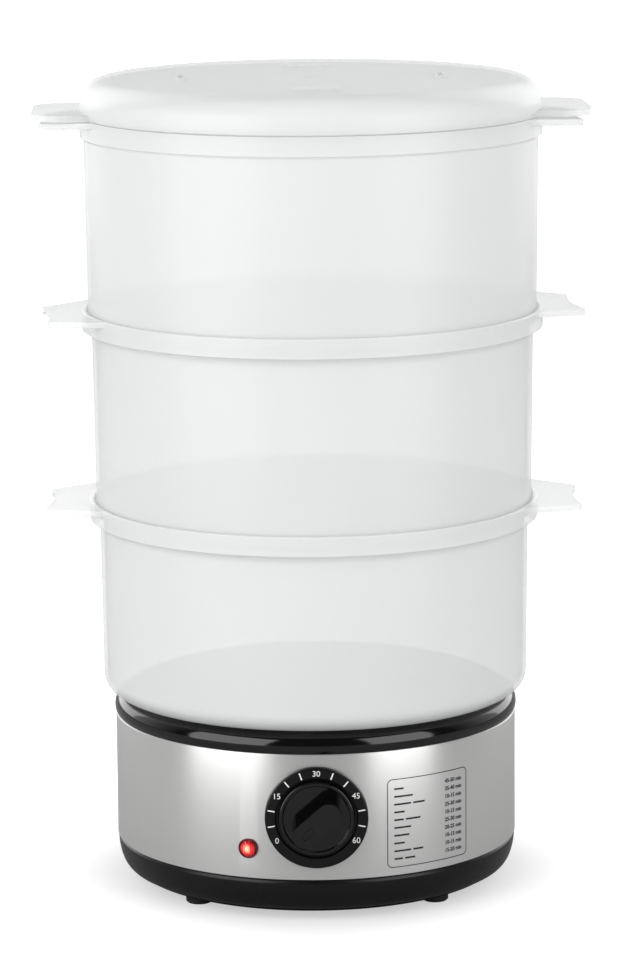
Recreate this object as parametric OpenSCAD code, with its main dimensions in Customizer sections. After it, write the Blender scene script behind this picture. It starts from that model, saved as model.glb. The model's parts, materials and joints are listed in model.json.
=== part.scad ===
// Electric food steamer: a round heating base with a wind-up timer, and a stack of
// three perforated tiers under a lid. Millimetres, +Z up, front towards -Y.
// The origin is on the table, at the middle of the four feet.

/* [Base] */
// Outer radius of the steel band
band_r = 100; // [96:0.5:104]
// Height of the steel band
band_h = 62.1; // [58:0.1:68]
// Thickness of the steel sheet
band_t = 0.6; // [0.4:0.1:1]
// Height of the band's lower edge above the table
band_z = 22.3; // [21:0.1:25]
// Wall of the black mouldings
wall = 2.2; // [1.8:0.1:2.6]
// Height of the floor of the base above the table
foot_h = 4.2; // [3:0.1:5]
// Radius of a rubber foot
foot_r = 6.5; // [5:0.1:8]
// How far the middle of each foot lies inside the band, along a diagonal
foot_in = 17.976; // [17:0.001:24]
// How far the edge of the flat floor panel lies inside the band
floor_in = 9.5; // [8:0.5:14]
// Height of the lower edge of the curved skirt
skirt_z = 6; // [5.2:0.1:8]
// How far the lower edge of the skirt lies inside the band
skirt_in = 7; // [5:0.5:8]
// Radius of the rounded top ring's section
bead_r = 7.5; // [6.5:0.1:8]
// How far the top ring stands out past the band
bead_out = 0.5; // [0.2:0.1:1]
// Height of the top ring above the band
crest_up = 10.9; // [10.2:0.1:12]

/* [Water tank] */
// Room between the tank and the timer's bell
tank_room = 4.4; // [3:0.1:6]
// Height of the underside of the tank's floor
tank_z = 32; // [31:0.5:34]
// How far the well's wall lies inside the middle of the top ring's section
well_in = 1.2; // [1:0.1:2]
// Width of the ledge that carries the drip tray
ledge_w = 3.3; // [2.5:0.1:4]
// Depth of that ledge below the top ring's crest
ledge_d = 4.7; // [4.3:0.1:5.2]
// Room between the heater plate and the foot of the steam sleeve
sleeve_room = 4.2; // [3:0.1:6]
// Height of the steam sleeve
sleeve_h = 38; // [30:0.5:39]
// Radius of the drip tray's steam chimney
chimney_r = 27; // [22:0.5:34]
// Depth of the drip tray
tray_d = 11; // [8:0.5:12]

/* [Heater] */
// Radius of the heater plate
plate_r = 42; // [41:0.5:43.5]
// Radius of the hole in the tank's floor under the plate
plate_hole_r = 36; // [35:0.5:37]
// Thickness of the heater plate
plate_t = 1.5; // [1:0.1:2]
// Thickness of the silicone gasket
gasket_t = 1.5; // [1:0.1:2]
// Radius of the bend of the heating element
element_r = 24; // [22:0.5:25]
// Radius of the heating element's tube
element_tube_r = 3.2; // [2.8:0.1:3.5]

/* [Timer and lamp] */
// Height of the timer's axis above the table
dial_z = 53.7; // [50:0.1:56]
// Outer radius of the dial ring
dial_r = 24.9; // [23:0.1:26]
// How far the dial ring's face stands out from the band
dial_out = 3; // [2.6:0.1:4]
// Radius of the recess that the knob turns in
recess_r = 19.8; // [19:0.1:20.5]
// Depth of that recess
recess_d = 2.1; // [1.8:0.1:2.2]
// Radius of the knob's disc
knob_r = 18.15; // [16.5:0.05:18.5]
// Thickness of the knob's disc
knob_t = 3; // [2.5:0.1:4]
// Distance of the end of the knob's grip from the band
knob_out = 17.5; // [15:0.1:18]
// Width of the knob's grip
grip_w = 11.6; // [10:0.1:13]
// Length of the knob's grip
grip_l = 27; // [24:0.5:30]
// Angle that the pointer stands at, clockwise from straight up, seen from the front
pointer_at = -131; // [-135:1:-121]
// Radius of the timer's shaft
shaft_r = 3; // [2.5:0.1:3.5]
// Width of the timer's housing
timer_w = 38; // [34:1:40]
// Depth of the timer's housing
timer_d = 21.5; // [18:0.5:22]
// Direction of the pilot lens, in degrees from the front towards -X
lens_at = 19.2; // [18:0.1:22]
// Height of the pilot lens above the table
lens_z = 37.1; // [35:0.1:40]
// Radius of the pilot lens
lens_r = 4.9; // [4.5:0.1:5.5]

/* [Cord inlet] */
// Radius of the bore that the cord passes through
cord_bore_r = 3.6; // [3:0.1:4]
// Height of that bore above the table
cord_z = 14; // [13.8:0.1:14.4]

/* [Tiers] */
// Outer radius of the lowest tier at its foot
tier1_foot_r = 105.6; // [104:0.1:108]
// How much wider each tier is than the one below it
tier_step = 2.45; // [2.2:0.05:2.8]
// How much a tier's wall leans out from its foot to its rim
tier_taper = 0.75; // [0.4:0.05:1]
// Wall of the tiers and of the lid
tier_wall = 1.8; // [1.4:0.1:2.1]
// Height of the lowest tier's rim above the crest of the base
tier1_h = 97.4; // [80:0.1:110]
// Height from one tier's rim to the next
tier_pitch = 94.7; // [80:0.1:110]
// Height of a rim
rim_h = 9.4; // [8:0.1:11]
// Wall of a rim
rim_t = 2.1; // [1.6:0.1:2.4]
// How deep a tier nests in the rim below it
nest_d = 6; // [5:0.1:6.8]
// Rounding of the lowest tier's bottom edge
tier1_corner = 9; // [6:0.5:10]
// Height of the upper tiers' floors above their bottom edges
floor_up = 6.5; // [5:0.1:10]
// Radius of a hole in a tier's floor
hole_r = 2.4; // [1.5:0.1:3]
// Distance from one ring of holes to the next
hole_pitch = 12.2; // [11:0.1:14]
// Turn of the middle tier about the stack's axis, in degrees
tier2_turn = 6.5; // [-15:0.5:15]

/* [Tier handles] */
// Reach of a tier's handle from the axis
handle_reach = 132; // [126:0.5:136]
// Half width of a tier's handle where it meets the rim
handle_root = 43; // [36:0.5:46]
// Half width of a tier's handle at its tip
handle_tip = 27; // [20:0.5:32]
// Thickness of the handles
handle_t = 3; // [2:0.1:4]
// Slope of the tiers' handles below the level, in degrees
handle_droop = 3; // [2:0.5:5]
// Depth of the hollow in a tier handle's end
handle_notch = 3; // [1:0.5:5]

/* [Lid] */
// How far the lid stands out past the top tier's rim
lid_over = 0.2; // [0:0.1:0.6]
// Height of the lid
lid_h = 18.4; // [16:0.1:24]
// Rounding of the lid's shoulder
lid_shoulder = 13; // [10:0.5:14]
// Depth of the lip that drops into the top tier
lid_lip_d = 4; // [2:0.1:5]
// Reach of the lid's handles from the axis
lid_handle_reach = 136; // [130:0.5:140]
// Half width of the lid's handles
lid_handle_w = 35; // [28:0.5:40]
// Distance of the steam vents from the axis
vent_at = 63.5; // [50:0.5:75]
// Length of a steam vent
vent_l = 24; // [16:0.5:30]
// Turn of the lid about the stack's axis, in degrees
lid_turn = 2; // [-15:0.5:15]

/* [Fits] */
// Gap between a piece that lifts off and its seat
seat_gap = 0.3; // [0.2:0.05:0.5]
// Radial play of a tier or the lid in the rim below it
nest_play = 1; // [0.6:0.1:1.5]
// Radial play of a shaft that turns in a bore
shaft_play = 0.05; // [0.02:0.01:0.1]
// Radial play of a fixed piece in its hole
fixed_play = 0.1; // [0.05:0.05:0.2]

/* [Hidden] */
$fn = 96;
eps = 0.01;

black = "#1b1b1c";
steel = "#c9c9c8";
frosted = "#e9ebea";
zinc = "#b9bcc0";

// Base, from the table up
skirt_top_z = band_z - seat_gap;
skirt_top_r = band_r - 0.3;
skirt_foot_r = band_r - skirt_in;
floor_r = band_r - floor_in;
spigot_r = band_r - band_t - seat_gap;
spigot_h = 5;
spigot_top_z = skirt_top_z + spigot_h;
band_top_z = band_z + band_h;
crest_z = band_top_z + crest_up;
bead_at_r = band_r + bead_out - bead_r;
bead_at_z = crest_z - bead_r;
bead_foot_z = band_top_z + seat_gap;
well_r = bead_at_r - well_in;
funnel_r = well_r - ledge_w;
ledge_z = crest_z - ledge_d;
// Straight wall under the ledge, and the drop of the sloping wall under that
ledge_wall_h = 6.6;
funnel_drop = 11.4;
funnel_top_z = ledge_z - ledge_wall_h;
funnel_foot_z = funnel_top_z - funnel_drop;
tongue_h = 8;
edge_lip = 0.4;
inner_fillet_r = 6.5;
band_seam_w = 0.4;
slot_pitch = 8;
slot_l = 22;
slot_w = 2.6;
slot_group_y = 44;
tank_floor_z = tank_z + wall;
base_floor_z = foot_h + wall;
foot_xy = (band_r - foot_in) / sqrt(2);
foot_points = [for (x = [-1, 1], y = [-1, 1]) [x * foot_xy, y * foot_xy]];
foot_stem_r = 2.9;
foot_lip = 0.7;
foot_plug_h = 3;

// Screws that join the two black mouldings
boss_in = 16;
boss_at_r = band_r - boss_in;
boss_angles = [15, 165, 195, 345];
boss_split_z = 14;
boss_foot_r = 5.6;
boss_top_r = 4.6;
screw_r = 1.7;
screw_head_r = 3.7;
screw_head_h = 2.4;
screw_hole_r = screw_r + 0.3;
screw_seat_h = 4.8;
screw_seat_z = foot_h + screw_seat_h;
screw_l = 17;
recess_l = 4;
recess_cut_d = 1.2;

// Heater, clamped to the tank's floor by three studs and nuts
plate_z = tank_floor_z + gasket_t;
stud_r = 1.6;
stud_in = 3.5;
stud_past = 2;
stud_at_r = plate_hole_r - stud_in;
stud_angles = [90, 210, 330];
bracket_t = 1.5;
bracket_z = tank_z - bracket_t;
bracket_past = 8;
nut_h = 2.4;
nut_r = 3.4;
stud_foot_z = bracket_z - nut_h - stud_past;
clip_t = 0.8;
touch = 0.05;
element_z = plate_z - element_tube_r - touch;
clip_z = element_z - element_tube_r - clip_t - 0.2;
clip_w = 9;
element_gap = 60;
pin_r = 1.6;
pin_inset_deg = 9;
pin_drop = 11;
pin_foot_z = tank_z - pin_drop;
thermostat_r = 8;
terminal_t = 0.8;
terminal_w = 2.5;
terminal_drop = 8;
terminal_x = 4;
fuse_r = 2;
fuse_l = 14;
fuse_gap = 6;
sleeve_r = plate_r + sleeve_room + tier_wall;
sleeve_lean = 4;
gate_w = 12;
gate_h = 5;

// Timer, seen along its axis: distances from the stack's axis towards the front
neck_r = 16.7;
neck_l = 3.6;
neck_back = band_r - neck_l;
ring_chamfer = 0.8;
recess_at = band_r + dial_out - recess_d;
knob_gap = 0.4;
knob_back = recess_at + knob_gap;
knob_chamfer = 0.6;
knob_face = knob_back + knob_t;
grip_round = 0.5;
grip_end = band_r + knob_out;
mark_l = 7.2;
mark_w = 3.4;
mark_line = 0.5;
mark_d = 0.4;
mark_in = 8;
timer_plate_t = 1.5;
timer_front = neck_back - timer_plate_t;
timer_back = timer_front - timer_d;
shaft_in = 10;
shaft_back = timer_front - shaft_in;
shaft_front = grip_end - 4;
flat_at = 0.55 * shaft_r;
timer_screw_x = 11.5;
timer_screw_l = 8;
head_sink = 0.2;
tab_w = 6.3;
tab_x = 10;
tab_h = 3.6;
tab_t = 0.8;
tab_in = 6;
bell_t = 4.5;
bell_r = 15;
bell_wall = 0.8;
bell_stud_r = 2.5;
tank_r = timer_back - bell_t - tank_room;
tank_chamfer = 3;

// Pilot lamp, seen along its own axis
lens_rim_t = 1.2;
lens_face = band_r + lens_rim_t;
lens_dome = 1.7;
lens_lip = 0.8;
lens_wall = 0.9;
lens_body_r = lens_r - lens_lip;
lens_in = 6.5;
lens_back = band_r - lens_in;
lamp_r = 2.9;
lamp_out = 8;
clip_ring_t = 0.8;
clip_ring_w = 2.5;

// Cord inlet, seen along +Y
inlet_pad_r = 7.6;
inlet_pad_in = 12;
inlet_pad_back = band_r - inlet_pad_in;
inlet_pad_front = band_r - 0.2;
gland_wall = 1.8;
gland_r = cord_bore_r + gland_wall;
gland_flange_t = 2;
gland_flange_in = 0.3;
gland_lip_t = 2.1;
gland_lip = 1;
block_l = 22;
block_w = 10;
block_h = 9;
block_hole_r = 2;
block_hole_d = 3;
block_pole = 7;
block_x = 27;
block_in = 34;
block_y = band_r - block_in;
lead_r = 1.2;
lead_gap = 0.3;
lead_leg = 5;

// Tiers: i is 0 for the lowest
function tier_foot_r(i) = tier1_foot_r + i * tier_step;
function tier_top_r(i) = tier_foot_r(i) + tier_taper;
function rim_in_r(i) = i < 2 ? tier_foot_r(i + 1) + nest_play : tier_top_r(i) - top_rim_in;
function rim_r(i) = rim_in_r(i) + rim_t;
function rim_top_z(i) = crest_z + tier1_h + i * tier_pitch;
function rim_foot_z(i) = rim_top_z(i) - rim_h;
function rim_ledge_z(i) = rim_top_z(i) - nest_d;
function tier_z(i) = (i == 0 ? crest_z : rim_ledge_z(i - 1)) + seat_gap;
function tier_floor_z(i) = tier_z(i) + (i == 0 ? tier1_floor_up : floor_up);
top_rim_in = 0.25;
tier1_floor_up = 1.6;
upper_corner = 0.8;
ring_play = 0.6;
ring_r = well_r - ring_play;
ring_d = 2.6;
rim_round = 0.6;
floor_fillet = 5;
ledge_chamfer = 1;
pivot_in = 9;
root_in = 20;
root_half = handle_root + 6;
lid_z = rim_top_z(2) + seat_gap;
lid_top_z = lid_z + lid_h;
lid_lip_r = rim_in_r(2) - nest_play;
lid_r = rim_r(2) + lid_over;
vent_w = 6;
vent_slot_w = 2.4;

// Points on an arc with radii rx and rz, from angle a to angle b
function arc(cx, cz, rx, rz, a, b, n = 10) =
    [for (i = [0:n]) let (t = a + (b - a) * i / n) [cx + rx * cos(t), cz + rz * sin(t)]];

// The same points in the other order
function back(points) = [for (i = [len(points) - 1:-1:0]) points[i]];

// Turns local +Z to the front and local +Y up, at height z
module facing_front(z) {
    translate([0, 0, z]) rotate([90, 0, 0]) children();
}

// The same, turned to the pilot lens
module facing_lens() {
    rotate([0, 0, -lens_at]) facing_front(lens_z) children();
}

// Turns local +Z to the back, at the cord inlet
module facing_back() {
    translate([0, 0, cord_z]) rotate([-90, 0, 0]) children();
}

// A tube of outer radius r1 and inner radius r2
module tube(r1, r2, h) {
    difference() {
        cylinder(r = r1, h = h);
        translate([0, 0, -1]) cylinder(r = r2, h = h + 2);
    }
}

// A flat bar with round ends, as an outline along X
module stadium(l, w) {
    square([l - w, w], center = true);
    for (s = [-1, 1]) translate([s * (l - w) / 2, 0]) circle(d = w);
}

// Cross-shaped driver recess, cut downwards from z = 0
module cross_recess() {
    slot = 0.8;
    for (a = [0, 90]) rotate([0, 0, a])
        translate([-recess_l / 2, -slot / 2, -recess_cut_d]) cube([recess_l, slot, recess_cut_d + 1]);
}

// ---- Base -------------------------------------------------------------------

module bottom_housing() color(black) {
    fillet_rz = skirt_top_z - base_floor_z - 1.8;
    shell = concat(
        [[0, foot_h], [floor_r, foot_h], [floor_r, skirt_z]],
        arc(skirt_foot_r, skirt_top_z, skirt_top_r - skirt_foot_r, skirt_top_z - skirt_z, -90, 0),
        [[spigot_r, skirt_top_z], [spigot_r, spigot_top_z], [spigot_r - wall, spigot_top_z]],
        back(arc(spigot_r - wall - inner_fillet_r, skirt_top_z, inner_fillet_r, fillet_rz, -90, 0)),
        [[floor_r - wall, base_floor_z], [0, base_floor_z]]);
    difference() {
        union() {
            rotate_extrude() polygon(shell);
            for (a = boss_angles) rotate([0, 0, a]) translate([boss_at_r, 0, foot_h])
                cylinder(r = boss_foot_r, h = boss_split_z - foot_h);
            facing_back() translate([0, 0, inlet_pad_back])
                cylinder(r = inlet_pad_r, h = inlet_pad_front - inlet_pad_back);
        }
        for (a = boss_angles) rotate([0, 0, a]) translate([boss_at_r, 0, 0]) {
            cylinder(r = screw_head_r + 0.5, h = screw_seat_z);
            cylinder(r = screw_hole_r, h = boss_split_z + 1);
        }
        for (p = foot_points) translate([p[0], p[1], 0])
            cylinder(r = foot_stem_r + fixed_play, h = base_floor_z + 1);
        // Slot that the cord's gland slides down into
        translate([-gland_r - fixed_play, inlet_pad_back - 1, cord_z - gland_r - fixed_play])
            cube([2 * (gland_r + fixed_play), band_r, band_h]);
        floor_vents();
    }
}

// Two groups of air slots in the floor, beside the middle
module floor_vents() {
    for (s = [-1, 1], i = [-2:2]) translate([i * slot_pitch, s * slot_group_y, 0])
        linear_extrude(base_floor_z + 1) rotate(90) stadium(slot_l, slot_w);
}

module stainless_band() color(steel) difference() {
    rotate_extrude() translate([band_r - band_t, band_z]) square([band_t, band_h]);
    facing_front(dial_z) cylinder(r = neck_r + fixed_play, h = band_r + 10);
    facing_lens() cylinder(r = lens_body_r + fixed_play, h = band_r + 10);
    // Butt joint of the sheet at the back
    translate([-band_seam_w / 2, band_r - 5, band_z - 1]) cube([band_seam_w, 10, band_h + 2]);
}

module reservoir() color(black) {
    shell_r = spigot_r - wall;
    slope_out_r = funnel_r + wall;
    pocket_z = funnel_top_z - 1.5;
    outside = concat(
        [[0, tank_z], [tank_r - tank_chamfer, tank_z], [tank_r, tank_z + tank_chamfer],
            [tank_r, funnel_foot_z - wall], [slope_out_r, funnel_top_z - wall],
            [slope_out_r, pocket_z], [shell_r, pocket_z], [shell_r, band_top_z - tongue_h],
            [spigot_r, band_top_z - tongue_h], [spigot_r, bead_foot_z], [band_r, bead_foot_z]],
        arc(bead_at_r, bead_at_z, bead_r, bead_r, -12, 90, 12),
        [[well_r, crest_z - edge_lip], [0, crest_z - edge_lip]]);
    inside = [[0, tank_floor_z], [tank_r - wall - 2, tank_floor_z],
        [tank_r - wall, tank_floor_z + 2], [tank_r - wall, funnel_foot_z],
        [funnel_r, funnel_top_z], [funnel_r, ledge_z], [well_r, ledge_z],
        [well_r, crest_z + 1], [0, crest_z + 1]];
    difference() {
        union() {
            rotate_extrude() polygon(outside);
            for (a = boss_angles) rotate([0, 0, a]) translate([boss_at_r, 0, boss_split_z])
                cylinder(r = boss_top_r, h = funnel_top_z - boss_split_z);
        }
        rotate_extrude() polygon(inside);
        translate([0, 0, tank_z - 1]) cylinder(r = plate_hole_r, h = wall + 2);
        for (a = boss_angles) rotate([0, 0, a]) translate([boss_at_r, 0, boss_split_z - 1])
            cylinder(r = screw_r + shaft_play, h = screw_l);
    }
}

module rubber_feet() color("#151515") {
    edge = 0.8;
    foot = [[0, 0], [foot_r - edge, 0], [foot_r, edge], [foot_r, foot_h], [foot_stem_r, foot_h],
        [foot_stem_r, base_floor_z], [foot_stem_r + foot_lip, base_floor_z + 0.1],
        [foot_stem_r - foot_lip, base_floor_z + foot_plug_h], [0, base_floor_z + foot_plug_h]];
    for (p = foot_points) translate([p[0], p[1], 0]) rotate_extrude() polygon(foot);
}

module housing_screws() color(zinc) {
    for (a = boss_angles) rotate([0, 0, a]) translate([boss_at_r, 0, 0]) difference() {
        union() {
            translate([0, 0, screw_seat_z - screw_head_h])
                cylinder(r = screw_head_r, h = screw_head_h);
            translate([0, 0, screw_seat_z - eps])
                cylinder(r = screw_r, h = screw_l);
        }
        translate([0, 0, screw_seat_z - screw_head_h]) mirror([0, 0, 1]) cross_recess();
    }
}

// ---- Heater -----------------------------------------------------------------

module heater_plate() color("#a9abad") {
    translate([0, 0, plate_z]) cylinder(r = plate_r, h = plate_t);
    for (a = stud_angles) rotate([0, 0, a]) translate([stud_at_r, 0, stud_foot_z])
        cylinder(r = stud_r, h = plate_z + eps - stud_foot_z);
}

module heater_gasket() color("#b0553a") {
    translate([0, 0, tank_floor_z]) tube(plate_r - 1, plate_hole_r + 0.4, gasket_t);
}

module heating_element() color("#6d6a66") {
    translate([0, 0, element_z]) rotate([0, 0, element_gap / 2 - pin_inset_deg])
        rotate_extrude(angle = 360 - element_gap + 2 * pin_inset_deg) translate([element_r, 0])
            circle(r = element_tube_r);
    for (a = [-1, 1]) rotate([0, 0, a * element_gap / 2]) translate([element_r, 0, pin_foot_z])
        cylinder(r = pin_r, h = element_z - pin_foot_z);
}

module heater_bracket() color(zinc) translate([0, 0, bracket_z]) difference() {
    tube(plate_hole_r + bracket_past, element_r + element_tube_r + tier_wall, bracket_t);
    for (a = stud_angles) rotate([0, 0, a]) translate([stud_at_r, 0, -1])
        cylinder(r = stud_r + fixed_play, h = bracket_t + 2);
}

module heater_nuts() color(zinc) {
    for (a = stud_angles) rotate([0, 0, a])
        translate([stud_at_r, 0, bracket_z - nut_h]) difference() {
            cylinder(r = nut_r, h = nut_h, $fn = 6);
            translate([0, 0, -1]) cylinder(r = stud_r + shaft_play, h = nut_h + 2);
        }
}

module thermostat() color("#d9d4c8") {
    foot_z = clip_z + clip_t;
    translate([0, 0, foot_z]) cylinder(r = thermostat_r, h = plate_z - touch - foot_z);
    for (s = [-1, 1])
        translate([s * terminal_x - terminal_t / 2, clip_w / 2 + 0.5, foot_z - terminal_drop])
            cube([terminal_t, terminal_w, terminal_drop + eps]);
}

module thermal_fuse() color("#e4e1d6") {
    translate([thermostat_r + fuse_gap, fuse_l / 2, plate_z - fuse_r - touch]) rotate([90, 0, 0])
        cylinder(r = fuse_r, h = fuse_l);
}

module sensor_clip() color(zinc) translate([0, 0, clip_z]) {
    end_x = element_r + element_tube_r + 2;
    reach = plate_hole_r + 4;
    fold_h = bracket_z - clip_z - clip_t;
    translate([-reach, -clip_w / 2, 0]) cube([2 * reach, clip_w, clip_t]);
    // The ends are folded up against the bracket
    for (s = [-1, 1]) translate([s * (end_x + reach) / 2, 0, clip_t - eps])
        linear_extrude(fold_h + eps) square([reach - end_x, clip_w], center = true);
}

// ---- Timer ------------------------------------------------------------------

module dial_ring() color(black) difference() {
    facing_front(dial_z) {
        translate([0, 0, neck_back]) cylinder(r = dial_r, h = neck_l + dial_out - ring_chamfer);
        translate([0, 0, band_r + dial_out - ring_chamfer])
            cylinder(r1 = dial_r, r2 = dial_r - ring_chamfer, h = ring_chamfer);
    }
    // The ring's back follows the band, and only the neck passes through it
    difference() {
        translate([0, 0, band_z]) cylinder(r = band_r + fixed_play, h = band_h);
        facing_front(dial_z) translate([0, 0, neck_back]) cylinder(r = neck_r, h = 20);
    }
    facing_front(dial_z) {
        translate([0, 0, recess_at]) cylinder(r = recess_r, h = 10);
        cylinder(r = shaft_r + 1.5, h = band_r + 20);
        for (s = [-1, 1]) translate([s * timer_screw_x, 0, 0]) {
            cylinder(r = screw_hole_r, h = band_r + 20);
            translate([0, 0, recess_at - screw_head_h - head_sink]) cylinder(r = screw_head_r, h = 10);
        }
    }
}

module timer_body() color("#d8d3c4") difference() {
    facing_front(dial_z) {
        translate([0, 0, (timer_front + timer_back) / 2])
            cube([timer_w, timer_w, timer_d], center = true);
        translate([0, 0, timer_front - eps]) linear_extrude(timer_plate_t + eps)
            square([timer_w + 2, neck_r * 1.6], center = true);
        for (s = [-1, 1]) translate([s * tab_x - tab_w / 2, timer_w / 2 - 0.1, timer_back + tab_in])
            cube([tab_w, tab_h + 0.1, tab_t]);
    }
    facing_front(dial_z) {
        translate([0, 0, shaft_back - 1]) cylinder(r = shaft_r + shaft_play, h = 30);
        for (s = [-1, 1]) translate([s * timer_screw_x, 0, timer_front - timer_screw_l - 1])
            cylinder(r = screw_r + shaft_play, h = 30);
    }
}

module timer_bell() color("#c8b27a") facing_front(dial_z) {
    translate([0, 0, timer_back - bell_t]) difference() {
        cylinder(r = bell_r, h = bell_t);
        translate([0, 0, bell_wall]) cylinder(r = bell_r - bell_wall, h = bell_t);
    }
    translate([0, 0, timer_back - bell_t]) cylinder(r = bell_stud_r, h = bell_t);
}

module timer_screws() color(zinc) facing_front(dial_z) {
    head_back = recess_at - head_sink - screw_head_h;
    screw_end = timer_front - timer_screw_l;
    for (s = [-1, 1]) translate([s * timer_screw_x, 0, 0]) difference() {
        union() {
            translate([0, 0, head_back]) cylinder(r = screw_head_r - head_sink, h = screw_head_h);
            translate([0, 0, screw_end]) cylinder(r = screw_r, h = head_back + eps - screw_end);
        }
        translate([0, 0, recess_at - head_sink]) cross_recess();
    }
}

module timer_shaft() color(zinc) facing_front(dial_z) difference() {
    translate([0, 0, shaft_back]) cylinder(r = shaft_r, h = shaft_front - shaft_back);
    // Flat that drives the knob
    translate([-shaft_r, flat_at, knob_back]) cube([2 * shaft_r, shaft_r, 30]);
}

module timer_knob() color(black) facing_front(dial_z) rotate([0, 0, 90 - pointer_at]) {
    grip_h = grip_end - grip_round - knob_face;
    bore_r = shaft_r + 0.02;
    difference() {
        union() {
            translate([0, 0, knob_back]) cylinder(r = knob_r, h = knob_t - knob_chamfer);
            translate([0, 0, knob_face - knob_chamfer])
                cylinder(r1 = knob_r, r2 = knob_r - knob_chamfer, h = knob_chamfer);
            translate([0, 0, knob_face - eps]) linear_extrude(grip_h + eps) stadium(grip_l, grip_w);
            translate([0, 0, grip_end - grip_round - eps]) linear_extrude(grip_round + eps)
                stadium(grip_l - 2 * grip_round, grip_w - 2 * grip_round);
        }
        difference() {
            translate([0, 0, knob_back - 1]) cylinder(r = bore_r, h = shaft_front - knob_back + 1.3);
            // Keeps the flat of the bore against the shaft's
            rotate([0, 0, pointer_at - 90]) translate([-bore_r - 1, flat_at + 0.02, knob_back])
                cube([2 * bore_r + 2, bore_r, 30]);
        }
        // Pointer mark sunk in the end of the grip
        translate([grip_l / 2 - mark_in, 0, grip_end - mark_d]) difference() {
            linear_extrude(1) square([mark_l, mark_w], center = true);
            translate([0, 0, -1]) linear_extrude(3)
                square([mark_l - 2 * mark_line, mark_w - 2 * mark_line], center = true);
        }
    }
}

// ---- Pilot lamp -------------------------------------------------------------

module pilot_lens() color("#c4232a") facing_lens() {
    dome_r = (lens_r * lens_r + lens_dome * lens_dome) / (2 * lens_dome);
    difference() {
        union() {
            translate([0, 0, lens_back]) cylinder(r = lens_body_r, h = lens_face - lens_back);
            translate([0, 0, band_r + touch]) cylinder(r = lens_r, h = lens_rim_t - touch);
            intersection() {
                translate([0, 0, lens_face + lens_dome - dome_r]) sphere(r = dome_r);
                translate([0, 0, lens_face - eps]) cylinder(r = lens_r, h = 5);
            }
        }
        translate([0, 0, lens_back - 1])
            cylinder(r = lens_body_r - lens_wall, h = lens_in + 1 + lens_rim_t - lens_wall);
    }
}

module pilot_lamp() color("#e7c9a0") facing_lens() {
    translate([0, 0, lens_back - lamp_out]) cylinder(r = lamp_r, h = lamp_out + lens_in - 1);
}

module pilot_clip() color(zinc) facing_lens() {
    translate([0, 0, band_r - band_t - 0.4 - clip_ring_t])
        tube(lens_body_r + clip_ring_w, lens_body_r + fixed_play, clip_ring_t);
}

// ---- Cord inlet and wiring --------------------------------------------------

// Flanged bush with a square neck, which slides down into the housing's slot
module cord_gland() color(black) difference() {
    neck_back = inlet_pad_back - 0.1 - eps;
    neck_foot_z = cord_z - gland_r;
    union() {
        facing_back() {
            translate([0, 0, inlet_pad_back - gland_lip_t - 0.1])
                cylinder(r = gland_r + gland_lip, h = gland_lip_t);
            translate([0, 0, inlet_pad_front])
                cylinder(r = inlet_pad_r - gland_flange_in, h = gland_flange_t);
        }
        translate([-gland_r, neck_back, neck_foot_z])
            cube([2 * gland_r, spigot_r - 0.5 - neck_back, spigot_top_z - 1 - neck_foot_z]);
        translate([-gland_r, neck_back, neck_foot_z])
            cube([2 * gland_r, inlet_pad_front + eps - neck_back, skirt_top_z - 0.2 - neck_foot_z]);
    }
    facing_back() translate([0, 0, inlet_pad_back - 5]) cylinder(r = cord_bore_r, h = 30);
}

module terminal_block() color("#eeeae0") translate([block_x, block_y, base_floor_z]) difference() {
    translate([0, 0, block_h / 2]) cube([block_l, block_w, block_h], center = true);
    for (i = [-1:1]) translate([i * block_pole, 0, block_h - block_hole_d])
        cylinder(r = block_hole_r, h = block_hole_d + 1);
}

// A bent wire along the points of its route, as a swept tube with eight sides.
// Catmull-Rom interpolation gives it smooth bends, and its ends are cut square.
function spline(p, a, t) = let (b = max(a - 1, 0), c = a + 1, d = min(a + 2, len(p) - 1))
    0.5 * (2 * p[a] + (p[c] - p[b]) * t + (2 * p[b] - 5 * p[a] + 4 * p[c] - p[d]) * t * t
        + (3 * p[a] - p[b] - 3 * p[c] + p[d]) * t * t * t);
function smooth(p, n) = concat([for (a = [0:len(p) - 2], k = [0:n - 1]) spline(p, a, k / n)],
    [p[len(p) - 1]]);
function unit(v) = v / norm(v);

module wire(points) {
    sides = 8;
    line = smooth(points, 3);
    last = len(line) - 1;
    end = len(points) - 1;
    rings = [for (i = [0:last])
        let (along = unit(i == 0 ? points[1] - points[0] : i == last ? points[end] - points[end - 1]
                : line[i + 1] - line[i - 1]),
            side = unit(cross(along, abs(along[2]) > 0.9 ? [1, 0, 0] : [0, 0, 1])),
            over = cross(side, along))
            for (k = [0:sides - 1]) let (a = 360 * k / sides)
                line[i] + lead_r * (cos(a) * side + sin(a) * over)];
    faces = concat(
        [[for (k = [0:sides - 1]) k]],
        [for (i = [0:last - 1], k = [0:sides - 1]) let (n = (k + 1) % sides)
            [i * sides + k, (i + 1) * sides + k, (i + 1) * sides + n, i * sides + n]],
        [[for (k = [sides - 1:-1:0]) last * sides + k]]);
    polyhedron(rings, faces);
}

// Places that the wires run between, and the legs that leave them straight
block_top_z = base_floor_z + block_h + lead_gap;
wire_ring_r = (tank_r + boss_at_r) / 2 - 2.2;
wire_low_z = base_floor_z + 2 * lead_gap + 3 * lead_r;
tab_y = -(timer_back + tab_in + tab_t / 2);
tab_z = dial_z + timer_w / 2 + tab_h / 2;
tab_side_x = tab_x + tab_w / 2 + lead_gap;
pin_at = element_r * [cos(element_gap / 2), sin(element_gap / 2)];
stud_foot = [0, stud_at_r, stud_foot_z - lead_gap];
terminal_foot = [-terminal_x, clip_w / 2 + 0.5 + terminal_w / 2,
    clip_z + clip_t - terminal_drop - lead_gap];
down = [0, 0, -lead_leg];

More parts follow.
